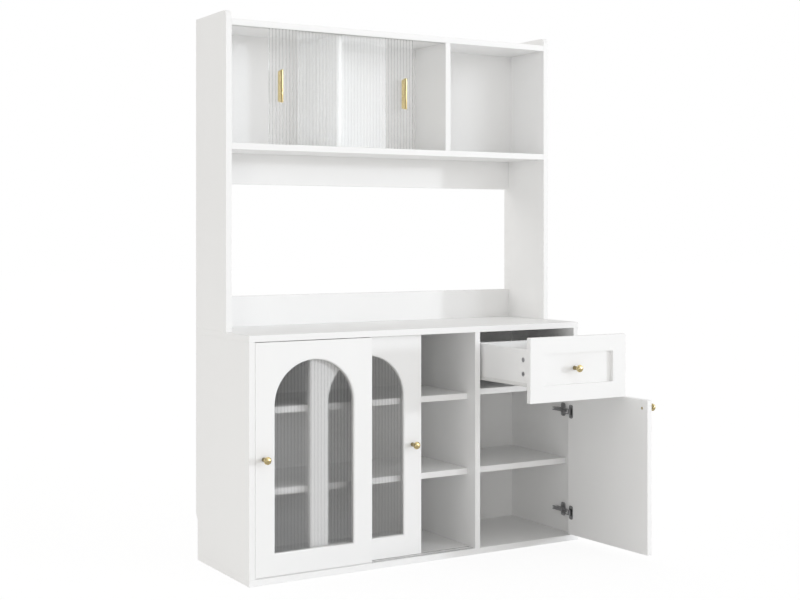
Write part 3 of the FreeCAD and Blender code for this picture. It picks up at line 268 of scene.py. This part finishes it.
class Tree:
    """A node tree that is written as Python."""

    def __init__(self, owner):
        owner.use_nodes = True
        self.owner = owner
        self.nodes = owner.node_tree.nodes
        self.links = owner.node_tree.links
        self.nodes.clear()

    def node(self, kind, settings=None, sockets=None, output=0):
        """Add a node with its settings, then its socket values or links."""
        made = self.nodes.new(kind)
        for key, value in (settings or {}).items():
            if key == "stops":
                self.set_stops(made.color_ramp, value)
            else:
                setattr(made, key, value)
        for key, value in (sockets or {}).items():
            if isinstance(value, Wire):
                self.links.new(value.socket, made.inputs[key])
            else:
                made.inputs[key].default_value = value
        return Wire(self, made.outputs[output]) if made.outputs else made

    @staticmethod
    def set_stops(ramp, stops):
        while len(ramp.elements) < len(stops):
            ramp.elements.new(1)
        for element, (position, grey) in zip(ramp.elements, stops):
            element.position = position
            element.color = (grey, grey, grey, 1)

    def math(self, operation, *values):
        return self.node("ShaderNodeMath", {"operation": operation}, dict(enumerate(values)))

    def ray(self, kind):
        """1 for rays of a kind, such as "Is Shadow Ray", and 0 for others."""
        return self.node("ShaderNodeLightPath", output=kind)

    def attribute(self, name):
        """A number that each vertex carries."""
        return self.node("ShaderNodeAttribute", {"attribute_name": name}, output="Fac")

    def place(self):
        return self.node("ShaderNodeTexCoord", output="Object")

    def coordinate(self, axis):
        return self.node("ShaderNodeSeparateXYZ", {}, {0: self.place()}, output=axis)

    def stretched(self, scale):
        return self.node("ShaderNodeMapping", {}, {"Vector": self.place(), "Scale": scale})

    def noise(self, vector, scale, detail=2.0, roughness=0.5):
        return self.node("ShaderNodeTexNoise", {},
                         {"Vector": vector, "Scale": scale, "Detail": detail, "Roughness": roughness})

    def ramp(self, value, stops):
        return self.node("ShaderNodeValToRGB", {"stops": stops}, {"Fac": value})

    def mixed(self, share, first, second):
        """A colour between two others."""
        return self.node("ShaderNodeMix", {"data_type": "RGBA"}, {0: share, 6: first, 7: second}, output=2)

    def bump(self, height, strength, distance):
        return self.node("ShaderNodeBump", {}, {"Height": height, "Strength": strength, "Distance": distance})

    def surface(self, shader):
        self.node("ShaderNodeOutputMaterial", {}, {"Surface": shader})
        return self.owner


def rgba(colour, factor=1.0):
    """A colour with its alpha, made lighter or darker."""
    return tuple(min(1.0, channel * factor) for channel in colour) + (1.0,)


def painted(name, colour, roughness, grain_size=0.0007, mottle=0.012, texture=0.03):
    """Sprayed lacquer or powder coat: nearly even, with a fine skin and a faint cloudiness."""
    tree = Tree(bpy.data.materials.new(name))
    cloud = tree.noise(tree.place(), 2.6, detail=4.0, roughness=0.55)
    skin = tree.noise(tree.place(), 1 / grain_size, detail=2.0)
    ripple = tree.noise(tree.place(), 90.0, detail=1.0)
    speck = tree.ramp(tree.noise(tree.place(), 420.0, detail=0.0), [(0.0, 1.0), (0.23, 1.0), (0.27, 0.0)])
    base = tree.mixed(cloud, rgba(colour, 1 - mottle), rgba(colour, 1 + mottle))
    base = tree.mixed(speck * 0.05, base, rgba(colour, 0.86))
    height = skin * 0.6 + ripple * 0.4
    shader = tree.node("ShaderNodeBsdfPrincipled", {}, {
        "Base Color": base,
        "Roughness": cloud * 0.08 + skin * 0.06 + (roughness - 0.07),
        "Normal": tree.bump(height, texture, 0.0003),
    })
    return tree.surface(shader)


def brushed(name, colour, roughness, direction, wear=0.12):
    """Metal with fine lines along one direction and duller patches, and painted shade where a piece marks it,
    such as on a knob's collar and neck.
    """
    tree = Tree(bpy.data.materials.new(name))
    lines = tree.noise(tree.stretched(direction), 1.0, detail=3.0, roughness=0.6)
    patch = tree.noise(tree.place(), 55.0, detail=3.0)
    shade = tree.mixed(patch, rgba(colour, 1 - wear), rgba(colour, 1 + wear / 2))
    shade = tree.mixed(lines * 0.35, shade, rgba(colour, 0.8))
    # painted shade: a knob's collar and neck are darkened to stand in for their shadow and dark reflection
    recess = tree.attribute("recess")
    shader = tree.node("ShaderNodeBsdfPrincipled", {}, {
        "Base Color": tree.mixed(recess * 0.9, shade, rgba(colour, PAINTED_SHADE_TINT)),
        "Metallic": 1.0,
        "Roughness": lines * 0.12 + patch * 0.08 + (roughness - 0.1),
        "Normal": tree.bump(lines, 0.08, 0.0001),
    })
    return tree.surface(shader)


def moulded(name, colour, roughness, texture=0.08):
    """Moulded plastic with a fine, even texture."""
    tree = Tree(bpy.data.materials.new(name))
    fine = tree.noise(tree.place(), 2400.0, detail=2.0)
    broad = tree.noise(tree.place(), 40.0, detail=2.0)
    shader = tree.node("ShaderNodeBsdfPrincipled", {}, {
        "Base Color": tree.mixed(broad, rgba(colour, 0.96), rgba(colour, 1.03)),
        "Roughness": fine * 0.1 + broad * 0.06 + (roughness - 0.08),
        "Normal": tree.bump(fine, texture, 0.0002),
    })
    return tree.surface(shader)


def beech(name):
    """Pale turned hardwood with its grain along the dowel."""
    tree = Tree(bpy.data.materials.new(name))
    grain = tree.noise(tree.stretched((40.0, 900.0, 900.0)), 1.0, detail=4.0, roughness=0.65)
    fleck = tree.noise(tree.stretched((300.0, 2600.0, 2600.0)), 1.0, detail=1.0)
    base = tree.mixed(grain, (0.52, 0.33, 0.17, 1), (0.72, 0.52, 0.31, 1))
    shader = tree.node("ShaderNodeBsdfPrincipled", {}, {
        "Base Color": tree.mixed(fleck * 0.3, base, (0.40, 0.24, 0.12, 1)),
        "Roughness": grain * 0.2 + 0.55,
        "Normal": tree.bump(grain, 0.2, 0.0003),
    })
    return tree.surface(shader)


def grooved(name, colour, shade, edge, middle, side):
    """Extruded plastic track with painted shade low in its rear groove, and in both grooves to the right of a
    place.
    """
    tree = Tree(bpy.data.materials.new(name))
    fine = tree.noise(tree.place(), 2400.0, detail=2.0)
    across, depth, height = (tree.coordinate(axis) for axis in "XYZ")
    behind = tree.math("GREATER_THAN", depth, middle)
    beside = tree.math("GREATER_THAN", across, side)
    # painted shade: dark low in the rear groove, and in both grooves to the right of the front door's edge at
    # rest
    painted_groove_shade = tree.math("LESS_THAN", height, edge) * tree.math("MAXIMUM", behind, beside)
    shader = tree.node("ShaderNodeBsdfPrincipled", {}, {
        "Base Color": tree.mixed(painted_groove_shade, rgba(colour), rgba(shade)),
        "Roughness": fine * 0.1 + 0.36,
        "Normal": tree.bump(fine, 0.08, 0.0002),
    })
    return tree.surface(shader)


def fluted_glass(name, tint, valley_shade):
    """Clear glass with painted shade between its flutes, standing in for the stripes that refraction and
    light draw there, that lets the room's light through to what is behind it.
    """
    tree = Tree(bpy.data.materials.new(name))
    haze = tree.noise(tree.place(), 14.0, detail=3.0)
    # painted shade: the valleys between flutes are darkened, more in some bands of a sheet than in others, to
    # stand in for the flutes' stripes of light and shade
    painted_valley_shade = tree.math("POWER", tree.attribute("valley"), VALLEY_SHARPNESS) * tree.attribute("deepness")
    whole = [channel ** 2 for channel in tint]
    clear = tree.node("ShaderNodeBsdfPrincipled", {}, {
        "Base Color": tree.mixed(haze, rgba(whole, 0.98), rgba(whole, 1.01)),
        "Roughness": haze * 0.04 + 0.18,
        "IOR": 1.5,
        "Transmission Weight": 1.0,
    })
    through = tree.node("ShaderNodeBsdfTransparent", {}, {"Color": rgba(tint)})
    dim = tree.node("ShaderNodeBsdfTransparent", {}, {"Color": rgba(tint, VALLEY_TINT)})
    lines = tree.node("ShaderNodeMixShader", {}, {0: painted_valley_shade * valley_shade, 1: through, 2: dim})
    seen = tree.node("ShaderNodeMixShader", {}, {0: haze * 0.1 + 0.22, 1: lines, 2: clear})
    lighting = tree.math("MAXIMUM", tree.ray("Is Shadow Ray"), tree.ray("Is Diffuse Ray"))
    return tree.surface(tree.node("ShaderNodeMixShader", {}, {0: lighting, 1: seen, 2: through}))


def groove_place():
    """Height of the lower track's groove lips, depth of the wall between them, and where both lie free: the
    bounds of the painted shade in its grooves.
    """
    low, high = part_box("sliding_track_lower")
    return high.z - GROOVE_LIP, (low.y + high.y) / 2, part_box("front_door_frame")[1].x


def finish(name):
    """The material of that name, made the first time it is asked for."""
    full = f"{name}_finish"
    found = bpy.data.materials.get(full)
    if found:
        return found
    scene = bpy.context.scene
    boards, fittings, glass = scene.buffet_boards, scene.buffet_fittings, scene.buffet_glass
    recipes = {
        "white_board": lambda: painted(full, boards.board, 0.42),
        "white_back": lambda: painted(full, boards.back, 0.55, grain_size=0.0011, mottle=0.02, texture=0.05),
        "fluted_glass": lambda: fluted_glass(full, glass.door_tint, glass.valley_shade),
        "pane_glass": lambda: fluted_glass(full, glass.pane_tint, glass.valley_shade),
        "brass": lambda: brushed(full, fittings.brass, 0.26, (2500.0, 2500.0, 60.0), wear=0.05),
        "hinge_steel": lambda: brushed(full, fittings.plating, 0.34, (60.0, 60.0, 2200.0), wear=0.2),
        "screw_steel": lambda: brushed(full, (0.62, 0.62, 0.64), 0.32, (900.0, 900.0, 900.0)),
        "runner_enamel": lambda: painted(full, (0.84, 0.84, 0.83), 0.38, grain_size=0.0016, texture=0.09),
        "roller_nylon": lambda: moulded(full, (0.78, 0.78, 0.76), 0.45),
        "track_plastic": lambda: moulded(full, (0.80, 0.80, 0.79), 0.42),
        "lower_track": lambda: grooved(full, (0.92, 0.92, 0.92), (0.26, 0.26, 0.26), *groove_place()),
        "glide_plastic": lambda: moulded(full, (0.55, 0.55, 0.55), 0.45),
        "bead_plastic": lambda: moulded(full, (0.84, 0.84, 0.83), 0.5),
        "dowel_wood": lambda: beech(full),
    }
    return recipes[name]()


# Nodes whose finish differs from the other pieces of their slot
OWN_FINISH = {
    "front_pane_glass": "pane_glass",
    "rear_pane_glass": "pane_glass",
    "sliding_track_lower": "lower_track",
}


def finish_of(node):
    """The material of a node: its slot's, or its own."""
    return finish(OWN_FINISH.get(node, SLOT_OF[node]))


# Pieces
def piece(name, shape, *nodes, sharp=30.0):
    """Turn a finished shape into a piece that stands for some of the frame's nodes."""
    mesh = bpy.data.meshes.new(name)
    shape.to_mesh(mesh)
    shape.free()
    mesh.polygons.foreach_set("use_smooth", [True] * len(mesh.polygons))
    mesh.set_sharp_from_angle(angle=math.radians(sharp))
    made = bpy.data.objects.new(name, mesh)
    bpy.context.scene.collection.objects.link(made)
    mesh.materials.append(finish_of(nodes[0]))
    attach(made, BODY_OF[nodes[0]])
    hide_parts(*nodes)
    return made


def tidied(shape):
    """Close the seams of a shape and turn its faces outwards."""
    bmesh.ops.remove_doubles(shape, verts=shape.verts, dist=MERGE_DISTANCE)
    bmesh.ops.recalc_face_normals(shape, faces=shape.faces)
    return shape


def refined(node):
    """A copy of a node with its doubles merged, so that its rounded edges catch the light smoothly."""
    shape = bmesh.new()
    shape.from_mesh(NODES[node].data)
    shape.transform(NODES[node].matrix_world)
    bmesh.ops.remove_doubles(shape, verts=shape.verts, dist=MERGE_DISTANCE)
    made = piece(f"{node}_fine", shape, node, sharp=28.0)
    weighted = made.modifiers.new("even_faces", "WEIGHTED_NORMAL")
    weighted.keep_sharp = True
    weighted.weight = 90
    return made


def turned(outline, steps, closed=False):
    """Turn an outline of radius and distance out from a face about the Y axis."""
    shape = bmesh.new()
    corners = [shape.verts.new((radius, -out, 0)) for radius, out in outline]
    ends = corners[1:] + corners[:1] if closed else corners[1:]
    for start, end in zip(corners, ends):
        shape.edges.new((start, end))
    bmesh.ops.spin(shape, geom=shape.verts[:] + shape.edges[:], cent=(0, 0, 0), axis=(0, 1, 0),
                   angle=math.tau, steps=steps, use_merge=True)
    return tidied(shape)


def joined(shapes):
    """Several shapes as one."""
    whole = bmesh.new()
    for shape in shapes:
        mesh = bpy.data.meshes.new("part")
        shape.to_mesh(mesh)
        shape.free()
        whole.from_mesh(mesh)
        bpy.data.meshes.remove(mesh)
    return whole


def door_valleys(across, up):
    """How much of the painted shade the valleys of a door's glass show: more towards its top."""
    foot, rise = 0.3, 0.4
    return foot + rise * up


def front_pane_valleys(across, up):
    """How much of the painted shade the valleys of the front pane show: all of it in a band on the left."""
    band, fade, rest = 0.25, 0.02, 0.27
    return rest + (1 - rest) * min(1.0, max(0.0, (band - across) / fade))


def rear_pane_valleys(across, up):
    """How much of the painted shade the valleys of the rear pane show: all of it in a band on the right."""
    return front_pane_valleys(1 - across, up)


def fluted_sheet(node, glass, arched, valleys):
    """A sheet of glass with round flutes on its front, its top square or arched."""
    low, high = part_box(node)
    width = high.x - low.x
    flutes = max(1, round(width / glass.flute_pitch))
    pitch = width / flutes
    radius = width / 2
    spring = high.z - radius
    shape = bmesh.new()
    valley = shape.verts.layers.float.new("valley")
    deepness = shape.verts.layers.float.new("deepness")
    bmesh.ops.create_grid(shape, x_segments=flutes * glass.facets, y_segments=1, size=0.5)
    for vert in shape.verts:
        across, up = vert.co.x + 0.5, vert.co.y + 0.5
        x = across * width
        top = high.z
        if arched:
            top = spring + math.sqrt(max(0.0, radius ** 2 - (x - radius) ** 2))
        off_crest = 2 * (x / pitch % 1) - 1
        if abs(abs(off_crest) - 1) < SEAM_TOLERANCE:
            off_crest = 1.0
        # painted shade: where the valleys lie, and how much of the painted shade the glass shows here
        vert[valley] = off_crest ** 2
        vert[deepness] = valleys(across, up)
        vert.co = (low.x + x, low.y + glass.flute_depth * off_crest ** 2, low.z if up < 0.5 else top)
    made = bmesh.ops.extrude_face_region(shape, geom=shape.faces[:])
    for vert in made["geom"]:
        if isinstance(vert, bmesh.types.BMVert):
            vert.co.y = high.y
    bmesh.ops.recalc_face_normals(shape, faces=shape.faces)
    return shape


def knob_shape(fittings, radius, length):
    """A turned knob: a collar on the face, a waisted neck and a round head."""
    neck, collar, rim = fittings.neck_radius, fittings.collar_radius, fittings.collar_height
    half = fittings.head_half
    centre = length - half
    flare = collar - neck
    outline = [(0, 0), (collar - KNOB_EDGE, 0), (collar, KNOB_EDGE), (collar, rim * 0.75),
               (neck + flare * 0.9, rim * 0.88), (neck + flare * 0.6, rim), (neck + flare * 0.2, rim * 1.1),
               (neck, rim * 1.3), (neck, rim * 2.0)]
    start = math.asin(HEAD_START)
    entry = centre + half * math.sin(start)
    outline += [(neck * 0.95, (rim * 2 + entry) / 2), (neck, entry - KNOB_SEAT)]
    steps = 16
    for step in range(steps):
        turn = start + (math.pi / 2 - start) * step / steps
        outline.append((radius * math.cos(turn), centre + half * math.sin(turn)))
    outline.append((0, length))
    shape = turned(outline, fittings.turning_steps)
    # painted shade: 1 over the collar and neck, fading out before the head, where the brass is darkened to
    # stand in for shadow and dark reflection
    recess = shape.verts.layers.float.new("recess")
    for vert in shape.verts:
        vert[recess] = min(1.0, max(0.0, (centre - half * 0.3 + vert.co.y) / (half * 0.7)))
    return shape


class BUFFET_OT_boards(bpy.types.Operator):
    """Give the boards, panels and small trim their finishes"""

    bl_idname = "buffet.boards"
    bl_label = "Finish boards and trim"

    def execute(self, context):
        for name, node in NODES.items():
            material = finish_of(name)
            if not node.material_slots:
                node.data.materials.append(material)
            for slot in node.material_slots:
                slot.material = material
        return {"FINISHED"}


class BUFFET_OT_fronts(bpy.types.Operator):
    """Smooth the rounded edges of the door frames"""

    bl_idname = "buffet.fronts"
    bl_label = "Refine door frames"

    def execute(self, context):
        for node in ("front_door_frame", "rear_door_frame"):
            refined(node)
        return {"FINISHED"}


class BUFFET_OT_glass(bpy.types.Operator):
    """Press the fluted glass of the doors and of the hutch"""

    bl_idname = "buffet.glass"
    bl_label = "Make fluted glass"

    def execute(self, context):
        glass = context.scene.buffet_glass
        for node in ("front_door_glass", "rear_door_glass"):
            piece(f"{node}_fluted", fluted_sheet(node, glass, True, door_valleys), node, sharp=60.0)
        panes = {"front_pane_glass": front_pane_valleys, "rear_pane_glass": rear_pane_valleys}
        for node, valleys in panes.items():
            piece(f"{node}_fluted", fluted_sheet(node, glass, False, valleys), node, sharp=60.0)
        return {"FINISHED"}


class BUFFET_OT_knobs(bpy.types.Operator):
    """Turn the brass knobs"""

    bl_idname = "buffet.knobs"
    bl_label = "Turn knobs"

    def execute(self, context):
        fittings = context.scene.buffet_fittings
        for node in ("front_door_knob", "rear_door_knob", "drawer_knob"):
            low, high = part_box(node)
            shape = knob_shape(fittings, (high.x - low.x) / 2, high.y - low.y)
            shape.transform(Matrix.Translation(((low.x + high.x) / 2, high.y, (low.z + high.z) / 2)))
            piece(f"{node}_turned", shape, node)
        self.open_door_knob(fittings)
        return {"FINISHED"}

    def open_door_knob(self, fittings):
        """The hinged door stands open, so its knob points the way its door does."""
        swing = math.radians(-JOINTS["hinged_door_swing"]["range_deg"][0])
        out = Vector((math.sin(swing), -math.cos(swing), 0))
        along = Vector((-out.y, out.x, 0))
        node = NODES["hinged_door_knob"]
        points = [node.matrix_world @ vert.co for vert in node.data.vertices]
        spans = []
        for axis in (out, along, Vector((0, 0, 1))):
            places = [point.dot(axis) for point in points]
            spans.append((min(places), max(places)))
        (foot, tip), (left, right), (low, high) = spans
        seat = out * foot + along * ((left + right) / 2) + Vector((0, 0, (low + high) / 2))
        shape = knob_shape(fittings, (high - low) / 2, tip - foot)
        shape.transform(Matrix.Translation(seat) @ Matrix.Rotation(swing, 4, "Z"))
        piece("hinged_door_knob_turned", shape, "hinged_door_knob")


class BUFFET_OT_pulls(bpy.types.Operator):
    """Make the brass pulls of the hutch panes"""

    bl_idname = "buffet.pulls"
    bl_label = "Make pane pulls"

    def execute(self, context):
        fittings = context.scene.buffet_fittings
        for node in ("front_pane_pull", "rear_pane_pull"):
            piece(f"{node}_bar", self.bar(node, fittings), node)
        return {"FINISHED"}

    def bar(self, node, fittings):
        """A bar on edge with chamfers in front and ends that slant in towards the glass."""
        low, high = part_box(node)
        shape = bmesh.new()
        bmesh.ops.create_cube(shape, size=1.0)
        for vert in shape.verts:
            slant = fittings.end_slant if vert.co.y > 0 else 0
            vert.co = (high.x if vert.co.x > 0 else low.x, high.y if vert.co.y > 0 else low.y,
                       high.z - slant if vert.co.z > 0 else low.z + slant)
        for width, segments in ((fittings.chamfer, 1), (fittings.edge_radius, 2)):
            edges = [edge for edge in shape.edges
                     if all(vert.co.y < high.y - BACK_MARGIN for vert in edge.verts)]
            bmesh.ops.bevel(shape, geom=edges, affect="EDGES", offset=width, segments=segments,
                            profile=0.5, material=-1)
        return tidied(shape)


class BUFFET_OT_hardware(bpy.types.Operator):
    """Refine the hinges and runners, and turn the nylon rollers"""

    bl_idname = "buffet.hardware"
    bl_label = "Make hinges, runners and rollers"

    def execute(self, context):
        for node in ("hinge_cups", "hinge_links", "hinge_arms", "hinge_mounting_plates",
                     "drawer_runner_members", "cabinet_runner_members"):
            refined(node)
        for node in ("drawer_rollers", "cabinet_rollers"):
            piece(f"{node}_turned", self.roller_pair(node, context.scene.buffet_fittings), node)
        return {"FINISHED"}

    def roller_pair(self, node, fittings):
        """Two wheels with a tyre groove, one at each end of the node's box."""
        low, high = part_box(node)
        radius = (high.z - low.z) / 2
        width, bore = fittings.roller_width, fittings.roller_bore
        edge, groove = radius - ROLLER_EDGE, radius - ROLLER_GROOVE
        outline = [(bore, 0), (radius * 0.5, 0), (radius * 0.55, ROLLER_DISH), (radius * 0.8, ROLLER_DISH),
                   (radius * 0.85, 0), (edge, 0), (radius, ROLLER_EDGE), (radius, width * 0.4),
                   (groove, width * 0.45), (groove, width * 0.55), (radius, width * 0.6),
                   (radius, width - ROLLER_EDGE), (edge, width), (bore, width)]
        shapes = []
        for x, turn in ((low.x, math.pi / 2), (high.x, -math.pi / 2)):
            wheel = turned(outline, fittings.turning_steps, closed=True)
            wheel.transform(Matrix.Translation((x, (low.y + high.y) / 2, (low.z + high.z) / 2))
                            @ Matrix.Rotation(turn, 4, "Z"))
            shapes.append(wheel)
        return joined(shapes)


class BUFFET_OT_studio(bpy.types.Operator):
    """Set up the floor, the light, the white surroundings and the camera"""

    bl_idname = "buffet.studio"
    bl_label = "Set up studio"

    def execute(self, context):
        studio = context.scene.buffet_studio
        self.make_floor()
        self.make_world(context.scene, studio)
        self.make_lamps(context.scene, studio)
        self.make_camera(context.scene, studio)
        context.scene.view_settings.view_transform = "Standard"
        return {"FINISHED"}

    def seen_directly(self, tree):
        """1 where the view, or glass in it, looks at the surroundings."""
        return tree.math("MAXIMUM", tree.ray("Is Camera Ray"), tree.ray("Is Transmission Ray"))

    def make_floor(self):
        """A wide floor that looks white, takes a soft shadow and is grey where metal mirrors it."""
        shape = bmesh.new()
        bmesh.ops.create_grid(shape, x_segments=1, y_segments=1, size=FLOOR_HALF_WIDTH)
        bmesh.ops.translate(shape, verts=shape.verts, vec=(0, 0, -FLOOR_DROP))
        mesh = bpy.data.meshes.new("studio_floor")
        shape.to_mesh(mesh)
        shape.free()
        floor = bpy.data.objects.new("studio_floor", mesh)
        bpy.context.scene.collection.objects.link(floor)
        tree = Tree(bpy.data.materials.new("studio_floor_paint"))
        grain = tree.noise(tree.place(), 30.0, detail=2.0)
        paint = tree.node("ShaderNodeBsdfDiffuse", {}, {
            "Color": tree.mixed(grain, (0.94, 0.94, 0.94, 1), (0.95, 0.95, 0.95, 1))})
        glow = tree.node("ShaderNodeEmission", {}, {"Color": (1, 1, 1, 1), "Strength": FLOOR_GLOW})
        dusk = tree.node("ShaderNodeEmission", {}, {"Color": (1, 1, 1, 1), "Strength": FLOOR_MIRRORED})
        seen = self.seen_directly(tree)
        mirrored = tree.ray("Is Glossy Ray") * (1 - seen)
        matt = tree.node("ShaderNodeMixShader", {}, {0: seen * FLOOR_GLOW_SHARE, 1: paint, 2: glow})
        shader = tree.node("ShaderNodeMixShader", {}, {0: mirrored, 1: matt, 2: dusk})
        mesh.materials.append(tree.surface(shader))

    def make_world(self, scene, studio):
        """White where seen, darker on one side where metal mirrors it, and even where it gives light."""
        world = bpy.data.worlds.new("studio_surroundings")
        scene.world = world
        tree = Tree(world)
        direction = tree.node("ShaderNodeTexCoord", output="Generated")
        side = tree.node("ShaderNodeVectorMath", {"operation": "DOT_PRODUCT"},
                         {0: direction, 1: BRIGHT_SIDE}, output="Value")
        stops = [(0.3, studio.dark_side * 0.7), (0.75, 0.7), (0.93, 1.0)]
        mirrored = tree.ramp(side * 0.5 + 0.5, stops) * MIRRORED_GAIN
        seen = self.seen_directly(tree)
        glossy = tree.ray("Is Glossy Ray") * (1 - seen)
        lighting = (1 - seen) * (1 - glossy)
        colour = tree.mixed(lighting, (1, 1, 1, 1), rgba(studio.room_colour))
        backdrop = tree.node("ShaderNodeBackground", {}, {
            "Color": colour, "Strength": seen + glossy * mirrored + lighting * studio.room_light})
        tree.node("ShaderNodeOutputWorld", {}, {"Surface": backdrop})

    def make_lamps(self, scene, studio):
        """Five far lights: two in front on the right, three weak ones that fill the shadows."""
        front, fill = studio.key_colour, studio.room_colour
        lamps = (
            ("key", studio.key_bearing, studio.key_height, front),
            ("soft", studio.soft_bearing, studio.soft_height, front),
            ("rear", studio.rear_bearing, studio.rear_height, fill),
            ("fill", studio.fill_bearing, studio.fill_height, fill),
            ("top", 0.0, math.pi / 2, fill),
        )
        for name, bearing, height, colour in lamps:
            light = bpy.data.lights.new(f"{name}_light", "SUN")
            light.energy = getattr(studio, f"{name}_strength")
            light.angle = getattr(studio, f"{name}_spread")
            light.color = colour
            lamp = bpy.data.objects.new(f"{name}_light", light)
            scene.collection.objects.link(lamp)
            towards = Vector((math.sin(bearing) * math.cos(height), -math.cos(bearing) * math.cos(height),
                              math.sin(height)))
            lamp.location = towards * LAMP_DISTANCE
            lamp.rotation_euler = (-towards).to_track_quat("-Z", "Y").to_euler()

    def make_camera(self, scene, studio):
        """The level camera of the photo, its lens shifted down."""
        lens = bpy.data.cameras.new("photo_camera")
        lens.lens = studio.lens
        lens.sensor_width = SENSOR_WIDTH
        lens.shift_y = studio.rise
        camera = bpy.data.objects.new("photo_camera", lens)
        camera.location = studio.camera_place
        camera.rotation_euler = (math.pi / 2, 0, studio.camera_turn)
        scene.collection.objects.link(camera)
        scene.camera = camera


class BUFFET_PT_panel(bpy.types.Panel):
    """The cabinet's pieces, sizes and colours"""

    bl_label = "Buffet Cabinet"
    bl_space_type = "VIEW_3D"
    bl_region_type = "UI"
    bl_category = "Buffet"

    def draw(self, context):
        layout = self.layout
        for operator in OPERATORS:
            layout.operator(operator.bl_idname)
        for field, group in GROUPS.items():
            box = layout.box()
            settings = getattr(context.scene, field)
            for name in group.__annotations__:
                box.prop(settings, name)


GROUPS = {
    "buffet_glass": BuffetGlass,
    "buffet_fittings": BuffetFittings,
    "buffet_boards": BuffetBoards,
    "buffet_studio": BuffetStudio,
}
OPERATORS = (
    BUFFET_OT_boards, BUFFET_OT_fronts, BUFFET_OT_glass, BUFFET_OT_knobs,
    BUFFET_OT_pulls, BUFFET_OT_hardware, BUFFET_OT_studio,
)


def register():
    for group in GROUPS.values():
        bpy.utils.register_class(group)
    for operator in OPERATORS:
        bpy.utils.register_class(operator)
    bpy.utils.register_class(BUFFET_PT_panel)
    for field, group in GROUPS.items():
        setattr(bpy.types.Scene, field, PointerProperty(type=group))


def unregister():
    for field in GROUPS:
        delattr(bpy.types.Scene, field)
    bpy.utils.unregister_class(BUFFET_PT_panel)
    for operator in reversed(OPERATORS):
        bpy.utils.unregister_class(operator)
    for group in reversed(GROUPS.values()):
        bpy.utils.unregister_class(group)


def main():
    register()
    bpy.ops.buffet.boards()
    bpy.ops.buffet.fronts()
    bpy.ops.buffet.glass()
    bpy.ops.buffet.knobs()
    bpy.ops.buffet.pulls()
    bpy.ops.buffet.hardware()
    bpy.ops.buffet.studio()


if __name__ == "__main__":
    main()
